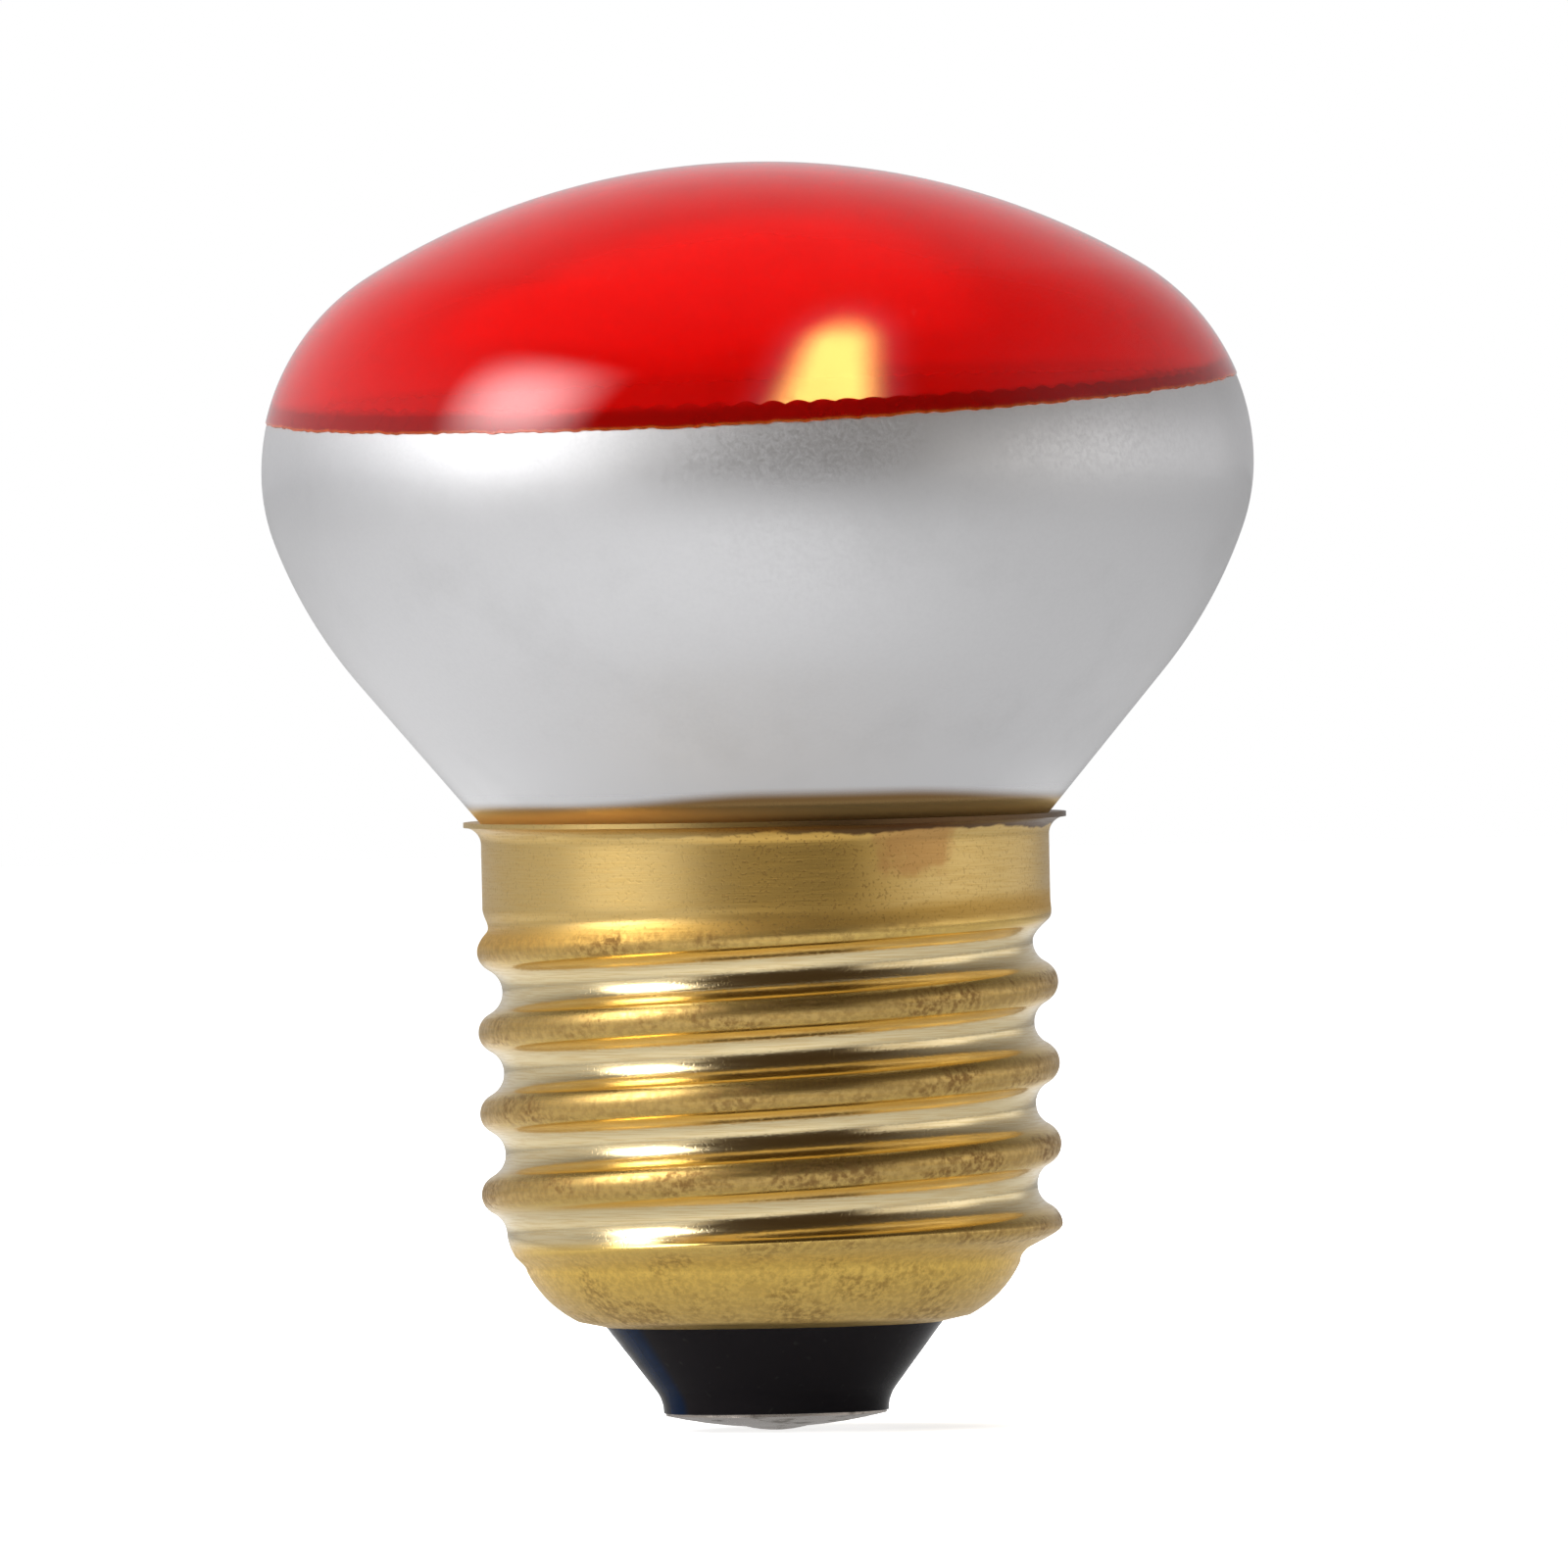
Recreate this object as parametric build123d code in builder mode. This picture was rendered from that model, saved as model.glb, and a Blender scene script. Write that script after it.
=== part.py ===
from build123d import *
import os
from math import atan, atan2, cos, degrees, pi, radians, remainder, sin, sqrt, tan

# A reflector lamp with a red dome and a medium screw base.
# Millimetres. The axis is +Z, and the origin is the lowest point of the tip.

# Contact and solder
tip_solder_radius = 1.4
tip_solder_depth = 0.13
plug_height = 1.1
contact_inset = 0.1
contact_edge = 0.12
contact_rise = 0.58
barrel_radius = 1.6
barrel_length = 2.37
lead_hole_radius = 0.5
side_solder_radius = 0.4
side_solder_rise = 0.18
side_solder_length = 1.2

# Insulator
insulator_tip_radius = 5.05
insulator_tip_land = 0.057
insulator_waist_bend = 1.6
insulator_cone_slope = 37

# Screw shell
sheet = 0.22
crest_radius = 13.0
thread_depth = 1.1
thread_pitch = 3.629
thread_length = 16.3
crest_rise = 1.65
crest_share = 0.46
collar_step = 0.28
collar_length = 3.85
collar_runout = 1.9
flange_width = 0.78
bowl_runout = 1.7
bowl_inset = 0.85
bowl_height = 2.56
bowl_bend = 5.0
lip_slope = 12.0
lip_length = 1.25
eyelet_radius = 7.55
runout_step = 0.03
thread_bands = 44
sections_in_half_turn = 9

# Glass and its red coat
bulb_diameter = 44.45
crown_radius = 33.3
shoulder_radius = 10.3
hip_radius = 8.8
flank_radius = 21.4
hip_angle = 20.0
cone_angle = 40.0
neck_clearance = 1.5
neck_bend = 5.0
neck_length = 9.02
rim_gap = 0.55
glass_wall = 0.7
lacquer_thickness = 0.06
lacquer_edge_rise = 2.89
lacquer_edge_tilt = 3.2
lacquer_edge_turn = 59

# Stem and filament
stem_tube_radius = 4.2
stem_wall = 0.8
stem_length = 11.0
press_taper = 3.0
press_length = 7.5
press_width = 8.2
press_thickness = 3.2
exhaust_radius = 1.5
exhaust_bore = 0.9
exhaust_tail = 3.9
exhaust_taper = 1.4
post_wire = 0.5
post_spacing = 6.0
post_foot = 1.0
post_straight = 1.2
post_bend = 1.2
post_end = 0.7
filament_rise = 7.5
filament_length = 12.5
filament_diameter = 0.6
support_wire = 0.25
support_depth = 2.0

# Leads and cement
lead_wire = 0.16
lead_clearance = 0.05
lead_bend = 0.8
lead_drop = 0.6
lead_tail = 0.35
lead_turn_rise = 1.6
cement_foot = 0.3
cement_setback = 0.15

# Heights and radii of the base, worked out upwards from the tip
insulator_tip_height = tip_solder_depth + contact_rise + contact_edge
insulator_turn = radians(insulator_cone_slope)
insulator_land_height = insulator_tip_height + insulator_tip_land
insulator_waist_radius = insulator_tip_radius + insulator_waist_bend * (1 - cos(insulator_turn))
insulator_waist_height = insulator_land_height + insulator_waist_bend * sin(insulator_turn)
barrel_height = insulator_tip_height + barrel_length
contact_radius = insulator_tip_radius - contact_inset
contact_face_height = insulator_tip_height - contact_edge
contact_sphere = (contact_radius**2 + contact_rise**2) / (2 * contact_rise)
contact_sphere_height = tip_solder_depth + contact_sphere

eyelet_height = insulator_waist_height + (eyelet_radius - insulator_waist_radius) / tan(insulator_turn)
thread_bottom = eyelet_height + bowl_height
thread_top = thread_bottom + thread_length
rim_height = thread_top + collar_length
crest_height = thread_bottom + crest_rise
root_radius = crest_radius - thread_depth
flank_turn = 2 * atan(2 * thread_depth / thread_pitch)
crest_bend = crest_share * thread_pitch / (2 * sin(flank_turn))
root_bend = (1 - crest_share) * thread_pitch / (2 * sin(flank_turn))
crest_reach = crest_bend * sin(flank_turn)
bowl_radius = root_radius - bowl_inset
bowl_bore = bowl_radius - sheet
collar_radius = crest_radius - collar_step
collar_bore = collar_radius - sheet
flange_radius = collar_radius + flange_width
flare_height = rim_height - flange_width - sheet
lip_turn = radians(lip_slope)
lip_radius = eyelet_radius + lip_length * cos(lip_turn)
lip_height = eyelet_height + lip_length * sin(lip_turn)
inner_lip_radius = lip_radius - sheet * sin(lip_turn)
inner_lip_height = lip_height + sheet * cos(lip_turn)
inner_eyelet_height = eyelet_height + sheet / cos(lip_turn)

# Heights and radii of the glass, worked out upwards from its seat in the collar
bulb_radius = bulb_diameter / 2
hip_turn = radians(hip_angle)
cone_turn = radians(cone_angle)
neck_radius = collar_bore - neck_clearance
neck_bore = neck_radius - glass_wall
mouth_spread = neck_clearance - rim_gap
neck_height = flare_height - sqrt(neck_bend**2 - (neck_bend - mouth_spread) ** 2)
hip_offset = bulb_radius - hip_radius
flank_offset = hip_offset + (hip_radius - flank_radius) * cos(hip_turn)
cone_top_radius = flank_offset + flank_radius * cos(cone_turn)
cone_end_radius = neck_radius + neck_bend * (1 - cos(cone_turn))
cone_end_height = neck_height + neck_bend * sin(cone_turn)
cone_top_height = cone_end_height + (cone_top_radius - cone_end_radius) / tan(cone_turn)
flank_centre_height = cone_top_height + flank_radius * sin(cone_turn)
equator_height = flank_centre_height + (hip_radius - flank_radius) * sin(hip_turn)
shoulder_offset = bulb_radius - shoulder_radius
shoulder_rise = sqrt((crown_radius - shoulder_radius) ** 2 - shoulder_offset**2)
crown_centre_height = equator_height - shoulder_rise
crown_sweep = degrees(atan2(shoulder_offset, shoulder_rise))
lacquer_edge_height = equator_height + lacquer_edge_rise
edge_tilt = radians(lacquer_edge_tilt)
edge_turn = radians(lacquer_edge_turn)

# Heights and radii inside the glass
seal_height = neck_height - neck_length
seal_underside = seal_height - stem_wall
stem_bend = neck_bore - stem_tube_radius
stem_tube_bore = stem_tube_radius - stem_wall
press_base_height = seal_height + stem_length
press_top_height = press_base_height + press_length
exhaust_end_height = seal_height - exhaust_tail
post_offset = post_spacing / 2
post_foot_height = press_base_height + post_foot
filament_height = press_top_height + filament_rise
filament_end = filament_length / 2
post_reach = filament_end + post_wire / 2
lead_lane = neck_radius + lead_clearance + lead_wire / 2
lead_lane_bend = neck_bend - (lead_lane - neck_radius)
lead_run_height = seal_underside - lead_drop
lead_cone_start = neck_height + lead_lane_bend * sin(cone_turn)
lead_cone_length = (rim_height + lead_tail - lead_cone_start) / cos(cone_turn)
centre_lead_turn = exhaust_end_height + lead_turn_rise
cement_bottom = thread_top + cement_foot
cement_top = flare_height - cement_setback

os.makedirs("parts", exist_ok=True)


def contact_face(radius):
    """Height of the contact's domed underside at a distance from the axis."""
    return contact_sphere_height - sqrt(contact_sphere**2 - radius**2)


def ease(share):
    """Smooth step that rises from 0 to 1 as the share does."""
    held = min(max(share, 0.0), 1.0)
    return held * held * (3 - 2 * held)


def thread_wave(turn):
    """Rise of the rolled wave from its middle, at an angle in radians from a crest."""
    off_crest = abs(remainder(turn, 2 * pi)) * thread_pitch / (2 * pi)
    if off_crest < crest_reach:
        return thread_depth / 2 - crest_bend + sqrt(crest_bend**2 - off_crest**2)
    off_root = thread_pitch / 2 - off_crest
    return root_bend - sqrt(root_bend**2 - off_root**2) - thread_depth / 2


def thread_radius(angle, height):
    """Outer radius of the rolled sheet at an angle in radians and a height."""
    into_bowl = ease((height - thread_bottom) / bowl_runout)
    into_collar = ease((thread_top - height) / collar_runout)
    middle = (crest_radius + root_radius) / 2
    bowl_end = bowl_radius - runout_step
    collar_end = collar_radius - runout_step
    middle = bowl_end + (middle - bowl_end) * into_bowl
    middle = collar_end + (middle - collar_end) * into_collar
    turn = 2 * pi * (height - crest_height) / thread_pitch - angle
    return middle + min(into_bowl, into_collar) * thread_wave(turn)


def glass_outline(inset):
    """Half outline of the glass from the crown to the end of the neck, set in from the outside."""
    crown = CenterArc((0, crown_centre_height), crown_radius - inset, 90, -crown_sweep)
    CenterArc((shoulder_offset, equator_height), shoulder_radius - inset, 90 - crown_sweep, crown_sweep - 90)
    CenterArc((hip_offset, equator_height), hip_radius - inset, 0, -hip_angle)
    flank = CenterArc(
        (flank_offset, flank_centre_height), flank_radius - inset, -hip_angle, hip_angle - cone_angle
    )
    bend = CenterArc((neck_radius + neck_bend, neck_height), neck_bend + inset, 180 - cone_angle, cone_angle)
    Line(flank @ 1, bend @ 0)
    neck = Line(bend @ 1, (neck_radius - inset, seal_height))
    return crown @ 0, neck @ 1


def dome_outline(inset):
    """Half outline of the dome down to the widest ring, set in from the outside of the glass."""
    crown = CenterArc((0, crown_centre_height), crown_radius - inset, 90, -crown_sweep)
    shoulder = CenterArc(
        (shoulder_offset, equator_height), shoulder_radius - inset, 90 - crown_sweep, crown_sweep - 90
    )
    return crown @ 0, shoulder @ 1


tip_solder_height = contact_face(tip_solder_radius)
tip_sphere = (tip_solder_radius**2 + tip_solder_height**2) / (2 * tip_solder_height)

# Blown glass bulb, open at the end of its neck
with BuildPart() as envelope:
    with BuildSketch(Plane.XZ):
        with BuildLine():
            outer_crown, outer_end = glass_outline(0)
            inner_crown, inner_end = glass_outline(glass_wall)
            Line(outer_crown, inner_crown)
            Line(outer_end, inner_end)
        make_face()
    revolve(axis=Axis.Z)

# Red coat over the dome, which ends along a sloping edge
with BuildPart() as lacquer:
    with BuildSketch(Plane.XZ):
        with BuildLine():
            coat_crown, coat_ring = dome_outline(-lacquer_thickness)
            dome_crown, dome_ring = dome_outline(0)
            Line(coat_crown, dome_crown)
            Line(coat_ring, dome_ring)
        make_face()
    revolve(axis=Axis.Z)
    uphill = (-sin(edge_tilt) * cos(edge_turn), -sin(edge_tilt) * sin(edge_turn), cos(edge_tilt))
    split(bisect_by=Plane(origin=(0, 0, lacquer_edge_height), z_dir=uphill), keep=Keep.TOP)

# Stiff posts that hold the filament, one on each side of the axis
posts = {}
for post_name, side in (("centre_post", -1), ("side_post", 1)):
    with BuildPart() as post:
        with BuildLine(Plane.YZ) as post_route:
            FilletPolyline(
                (side * post_offset, post_foot_height),
                (side * post_offset, press_top_height + post_straight),
                (side * post_reach, filament_height - post_straight - post_bend),
                (side * post_reach, filament_height + post_end),
                radius=post_bend,
            )
        with BuildSketch(Plane(origin=post_route.line @ 0, z_dir=post_route.line % 0)):
            Circle(post_wire / 2)
        sweep()
    posts[post_name] = post.part

# Coiled filament, as the outside of its coil, between the posts
with BuildPart() as filament:
    with BuildSketch(Plane(origin=(0, -filament_end, filament_height), z_dir=(0, 1, 0))):
        Circle(filament_diameter / 2)
    extrude(amount=filament_length)

# Support wire from the press to the underside of the filament
with BuildPart() as support:
    with BuildSketch(Plane.XY.offset(press_top_height - support_depth)):
        Circle(support_wire / 2)
    extrude(amount=filament_height - filament_diameter / 2 - press_top_height + support_depth)

# Lead from the centre post to the tip
with BuildPart() as centre_lead:
    with BuildLine(Plane.YZ) as centre_route:
        FilletPolyline(
            (-post_offset, post_foot_height),
            (-post_offset, centre_lead_turn),
            (0, centre_lead_turn - post_offset),
            (0, plug_height),
            radius=lead_bend,
        )
    with BuildSketch(Plane(origin=centre_route.line @ 0, z_dir=centre_route.line % 0)):
        Circle(lead_wire / 2)
    sweep()

# Lead from the side post, under the seal and up between the glass and the shell to the rim
with BuildPart() as side_lead:
    with BuildLine(Plane.YZ) as side_route:
        FilletPolyline(
            (post_offset, post_foot_height),
            (post_offset, lead_run_height),
            (lead_lane, lead_run_height),
            (lead_lane, neck_height),
            radius=lead_bend,
        )
        lane = CenterArc((neck_radius + neck_bend, neck_height), lead_lane_bend, 180, -cone_angle)
        PolarLine(lane @ 1, lead_cone_length, 90 - cone_angle)
    with BuildSketch(Plane(origin=side_route.line @ 0, z_dir=side_route.line % 0)):
        Circle(lead_wire / 2)
    sweep()

# Glass stem: flare, tube, press and exhaust tube, with the wires sealed into the press
with BuildPart() as stem:
    with BuildSketch(Plane.XZ):
        with BuildLine():
            stem_centre = (neck_bore, seal_height + stem_bend)
            flare_top = CenterArc(stem_centre, stem_bend, 180, 90)
            flare_under = CenterArc(stem_centre, stem_bend + stem_wall, 180, 90)
            Polyline(
                flare_top @ 0,
                (stem_tube_radius, press_base_height),
                (press_thickness / 2, press_base_height + press_taper),
                (0, press_base_height + press_taper),
                (0, press_base_height),
                (stem_tube_bore, press_base_height),
                flare_under @ 0,
            )
            Polyline(
                flare_top @ 1,
                (neck_radius, seal_height),
                (neck_radius, seal_underside),
                flare_under @ 1,
            )
        make_face()
    with BuildSketch(Plane.XZ):
        with BuildLine():
            Polyline(
                (exhaust_bore, press_base_height),
                (exhaust_radius, press_base_height),
                (exhaust_radius, exhaust_end_height + exhaust_taper),
                (0, exhaust_end_height),
                (0, exhaust_end_height + exhaust_radius - exhaust_bore),
                (exhaust_bore, exhaust_end_height + exhaust_taper),
                close=True,
            )
        make_face()
    revolve(axis=Axis.Z)
    with BuildSketch(Plane.XY.offset(press_base_height)):
        SlotOverall(press_width, press_thickness, rotation=90)
    extrude(amount=press_top_height - press_base_height)
    for sealed_wire in (*posts.values(), support.part, centre_lead.part, side_lead.part):
        add(sealed_wire, mode=Mode.SUBTRACT)

# Brass screw shell: flared rim and collar, rolled thread, bowl with a hole
with BuildPart() as shell:
    with BuildSketch(Plane.XZ):
        with BuildLine():
            flare_centre = (flange_radius, flare_height)
            flare_outside = CenterArc(flare_centre, flange_width, 180, -90)
            flare_inside = CenterArc(flare_centre, flange_width + sheet, 180, -90)
            Line(flare_outside @ 1, flare_inside @ 1)
            Polyline(
                flare_outside @ 0, (collar_radius, thread_top), (collar_bore, thread_top), flare_inside @ 0
            )
        make_face()
    with BuildSketch(Plane.XZ):
        with BuildLine():
            bowl_outside = RadiusArc((bowl_radius, thread_bottom), (lip_radius, lip_height), bowl_bend)
            bowl_inside = RadiusArc(
                (bowl_bore, thread_bottom), (inner_lip_radius, inner_lip_height), bowl_bend - sheet
            )
            Line(bowl_outside @ 0, bowl_inside @ 0)
            Polyline(
                bowl_outside @ 1,
                (eyelet_radius, eyelet_height),
                (eyelet_radius, inner_eyelet_height),
                bowl_inside @ 1,
            )
        make_face()
    revolve(axis=Axis.Z)
    band_height = (thread_top - thread_bottom) / thread_bands
    band_heights = [thread_bottom + band_height * band for band in range(thread_bands + 1)]
    for half_turn in range(2):
        for section in range(sections_in_half_turn):
            angle = pi * (half_turn + section / (sections_in_half_turn - 1))
            outward = (cos(angle), sin(angle), 0)
            sideways = (sin(angle), -cos(angle), 0)
            with BuildSketch(Plane(origin=(0, 0, 0), x_dir=outward, z_dir=sideways)):
                with BuildLine():
                    outside = Polyline(*[(thread_radius(angle, z), z) for z in band_heights])
                    inside = Polyline(*[(thread_radius(angle, z) - sheet, z) for z in band_heights])
                    Line(outside @ 0, inside @ 0)
                    Line(outside @ 1, inside @ 1)
                make_face()
        loft()

# Cement ring between the neck and the collar, with a way for the side lead
with BuildPart() as cement:
    with BuildSketch(Plane.XZ):
        with BuildLine():
            Polyline(
                (neck_bore, cement_bottom),
                (collar_bore, cement_bottom),
                (collar_bore, cement_top),
                (neck_bore, cement_top),
                close=True,
            )
        make_face()
        with BuildLine():
            crown_top, neck_end = glass_outline(0)
            Polyline(crown_top, (0, seal_height), neck_end)
        make_face(mode=Mode.SUBTRACT)
    revolve(axis=Axis.Z)
    add(side_lead.part, mode=Mode.SUBTRACT)

# Black glass insulator cast into the bowl
with BuildPart() as insulator:
    with BuildSketch(Plane.XZ):
        with BuildLine():
            seat = RadiusArc(
                (bowl_bore, thread_bottom), (inner_lip_radius, inner_lip_height), bowl_bend - sheet
            )
            Polyline(seat @ 1, (eyelet_radius, inner_eyelet_height), (eyelet_radius, eyelet_height))
            waist = CenterArc(
                (insulator_tip_radius + insulator_waist_bend, insulator_land_height),
                insulator_waist_bend,
                180,
                -insulator_cone_slope,
            )
            Line((eyelet_radius, eyelet_height), waist @ 1)
            Polyline(
                waist @ 0,
                (insulator_tip_radius, insulator_tip_height),
                (barrel_radius, insulator_tip_height),
                (barrel_radius, barrel_height),
                (lead_hole_radius, barrel_height),
                (lead_hole_radius, thread_bottom),
                seat @ 0,
            )
        make_face()
    revolve(axis=Axis.Z)

# Tinned contact with its eyelet barrel
with BuildPart() as contact:
    with BuildSketch(Plane.XZ):
        with BuildLine():
            underside = RadiusArc(
                (lead_hole_radius, contact_face(lead_hole_radius)),
                (contact_radius, contact_face_height),
                -contact_sphere,
            )
            Polyline(
                underside @ 1,
                (contact_radius, insulator_tip_height),
                (barrel_radius, insulator_tip_height),
                (barrel_radius, barrel_height),
                (lead_hole_radius, barrel_height),
                underside @ 0,
            )
        make_face()
    revolve(axis=Axis.Z)

# Solder that closes the eyelet and takes the centre lead
with BuildPart() as tip_solder:
    with BuildSketch(Plane.XZ):
        with BuildLine():
            spread = RadiusArc(
                (lead_hole_radius, contact_face(lead_hole_radius)),
                (tip_solder_radius, tip_solder_height),
                -contact_sphere,
            )
            RadiusArc((0, 0), spread @ 1, -tip_sphere)
            Polyline((0, 0), (0, plug_height), (lead_hole_radius, plug_height), spread @ 0)
        make_face()
    revolve(axis=Axis.Z)

# Solder bead that joins the side lead to the rim
with BuildPart() as side_solder:
    with BuildSketch(Plane.YZ):
        with Locations((flange_radius, rim_height + side_solder_rise)):
            Circle(side_solder_radius)
    extrude(amount=side_solder_length / 2, both=True)
    for neighbour in (shell.part, side_lead.part, envelope.part):
        add(neighbour, mode=Mode.SUBTRACT)

pieces = {
    "glass_envelope": envelope.part,
    "red_lacquer": lacquer.part,
    **posts,
    "filament": filament.part,
    "filament_support": support.part,
    "centre_lead": centre_lead.part,
    "side_lead": side_lead.part,
    "stem": stem.part,
    "screw_shell": shell.part,
    "basing_cement": cement.part,
    "insulator": insulator.part,
    "centre_contact": contact.part,
    "tip_solder": tip_solder.part,
    "side_solder": side_solder.part,
}
for name, piece in pieces.items():
    piece.label = name
    export_step(piece, f"parts/{name}.step")
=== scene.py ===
"""Looks of an infrared basking bulb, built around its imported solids.

The lamp stands on its tip, with its axis on +Z. Sizes in the classes are millimetres and degrees, as
in the solids, and meshes are made in metres. The camera looks along +Y.
"""

import logging
import math
import random
from dataclasses import dataclass
from enum import Enum

import bmesh
import bpy
import numpy as np
from mathutils import Matrix, Vector


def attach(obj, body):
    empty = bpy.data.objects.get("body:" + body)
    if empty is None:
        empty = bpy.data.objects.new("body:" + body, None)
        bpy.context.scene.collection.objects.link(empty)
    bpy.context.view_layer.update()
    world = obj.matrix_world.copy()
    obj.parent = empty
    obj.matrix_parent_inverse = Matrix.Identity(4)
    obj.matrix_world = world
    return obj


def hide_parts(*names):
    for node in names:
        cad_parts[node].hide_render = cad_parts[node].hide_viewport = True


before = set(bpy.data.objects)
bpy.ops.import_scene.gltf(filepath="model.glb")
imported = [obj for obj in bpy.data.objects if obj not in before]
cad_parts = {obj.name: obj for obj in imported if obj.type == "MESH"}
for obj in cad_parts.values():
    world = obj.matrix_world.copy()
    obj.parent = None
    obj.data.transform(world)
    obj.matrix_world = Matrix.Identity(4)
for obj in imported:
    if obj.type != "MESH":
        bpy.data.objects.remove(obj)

MM = 0.001
FULL_TURN = 2 * math.pi
log = logging.getLogger("basking_bulb")

Material = bpy.types.Material
Mesh = bpy.types.Mesh
Object = bpy.types.Object
Socket = bpy.types.NodeSocket
Feed = Socket | Material | float | int | str | tuple
Feeds = dict[str | int, Feed]
Colour = tuple[float, float, float]
Triple = tuple[float, float, float]
Point = tuple[float, float]
Range = tuple[float, float]
# Grain, cover and soft edge of an effect
Pattern = tuple[float, float, float]
# Where a smooth step starts and ends, then the results before and after it
Step = tuple[float, float, float, float]


class Slot(Enum):
    """Material slots for the pieces made here; nothing here assigns them."""

    SILVER = "silvered_glass"
    RED = "red_lacquer"
    TUNGSTEN = "tungsten"
    BRASS = "brass"


class Wiring:
    """Adds nodes to one tree and joins them, for shaders and for geometry alike."""

    def __init__(self, tree: bpy.types.NodeTree) -> None:
        """Keeps the tree that the nodes go into."""
        self.tree = tree

    def node(self, kind: str, feeds: Feeds | None = None, **settings: object) -> bpy.types.Node:
        """Adds one node.

        Args:
            kind: Blender's name of the node's type.
            feeds: What goes into each input, by the input's name or number.
            settings: Properties of the node itself.

        Returns:
            The new node.
        """
        made = self.tree.nodes.new(kind)
        for name, setting in settings.items():
            setattr(made, name, setting)
        for key, value in (feeds or {}).items():
            self.feed(made.inputs[key], value)
        return made

    def feed(self, socket: Socket, value: Feed) -> None:
        """Joins an input to another node's output, or sets it to a plain value."""
        if isinstance(value, Socket):
            self.tree.links.new(value, socket)
        elif isinstance(value, tuple) and socket.type == "RGBA":
            socket.default_value = (*value, 1.0)
        else:
            socket.default_value = value

    def math(self, operation: str, *values: Feed) -> Socket:
        """Adds a Math node with its inputs in order."""
        return self.node("ShaderNodeMath", dict(enumerate(values)), operation=operation).outputs[0]

    def times(self, first: Feed, *others: Feed) -> Feed:
        """Multiplies values, one after another."""
        for value in others:
            first = self.math("MULTIPLY", first, value)
        return first

    def plus(self, first: Feed, *others: Feed) -> Feed:
        """Adds values up, one after another."""
        for value in others:
            first = self.math("ADD", first, value)
        return first

    def minus(self, first: Feed, second: Feed) -> Socket:
        """Takes the second value from the first."""
        return self.math("SUBTRACT", first, second)

    def span(self, value: Feed, low: Feed, high: Feed, start: float = 0.0, end: float = 1.0) -> Socket:
        """Maps a value along a smooth step from low to high, to a result from start to end."""
        feeds = {"Value": value, "From Min": low, "From Max": high, "To Min": start, "To Max": end}
        return self.node("ShaderNodeMapRange", feeds, interpolation_type="SMOOTHSTEP").outputs["Result"]

    def span_mm(self, value: Feed, low: float, high: float, start: float = 0.0, end: float = 1.0) -> Socket:
        """Maps a length as span does, with the step's ends in millimetres."""
        return self.span(value, low * MM, high * MM, start, end)

    def share(self, mask: Feed, start: float, end: float) -> Socket:
        """Maps a mask from 0 to 1 to a value from start to end."""
        return self.span(mask, 0.0, 1.0, start, end)

    def blend(self, share: Feed, first: Feed, second: Feed) -> Socket:
        """Mixes two colours: the first at a share of 0, the second at 1."""
        return self.node("ShaderNodeMix", {0: share, 6: first, 7: second}, data_type="RGBA").outputs[2]

    def coords(self, stretch: Triple = (1.0, 1.0, 1.0)) -> Socket:
        """Gives the piece's own coordinates in metres, with a factor for each axis."""
        place = self.node("ShaderNodeTexCoord").outputs["Object"]
        return self.node("ShaderNodeMapping", {"Vector": place, "Scale": stretch}).outputs["Vector"]

    def axes(self, place: Socket) -> bpy.types.NodeOutputs:
        """Splits coordinates into X, Y and Z."""
        return self.node("ShaderNodeSeparateXYZ", {0: place}).outputs

    def distance(self, place: Socket, centre: Triple) -> Socket:
        """Distance in metres from a point given in millimetres."""
        spot = tuple(v * MM for v in centre)
        return self.node("ShaderNodeVectorMath", {0: place, 1: spot}, operation="DISTANCE").outputs["Value"]

    def noise(self, place: Feed, grain: Feed, detail: float = 3.0, roughness: float = 0.55) -> Socket:
        """Adds a noise pattern, about 0.5 on average, with a grain in features to the metre."""
        feeds = {"Vector": place, "Scale": grain, "Detail": detail, "Roughness": roughness}
        return self.node("ShaderNodeTexNoise", feeds).outputs["Fac"]

    def attribute(self, name: str) -> Socket:
        """Reads a value that the mesh carries, by its name."""
        return self.node("ShaderNodeAttribute", attribute_name=name).outputs["Fac"]

    def bump(self, height: Feed, strength: float, depth: float) -> Socket:
        """Turns a pattern with a depth in millimetres into a normal, at a strength from 0 to 1."""
        feeds = {"Height": height, "Strength": strength, "Distance": depth * MM}
        return self.node("ShaderNodeBump", feeds).outputs["Normal"]

    def add_glow(self, base: Socket, colour: Colour, strength: Feed) -> Socket:
        """Adds a glow of a colour and strength on top of a shader."""
        glow = self.node("ShaderNodeEmission", {"Color": colour, "Strength": strength}).outputs["Emission"]
        return self.node("ShaderNodeAddShader", {0: base, 1: glow}).outputs["Shader"]

    def combined(self, x: Feed, y: Feed, z: Feed) -> Socket:
        """Joins three values into a point."""
        return self.node("ShaderNodeCombineXYZ", {"X": x, "Y": y, "Z": z}).outputs["Vector"]


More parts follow.
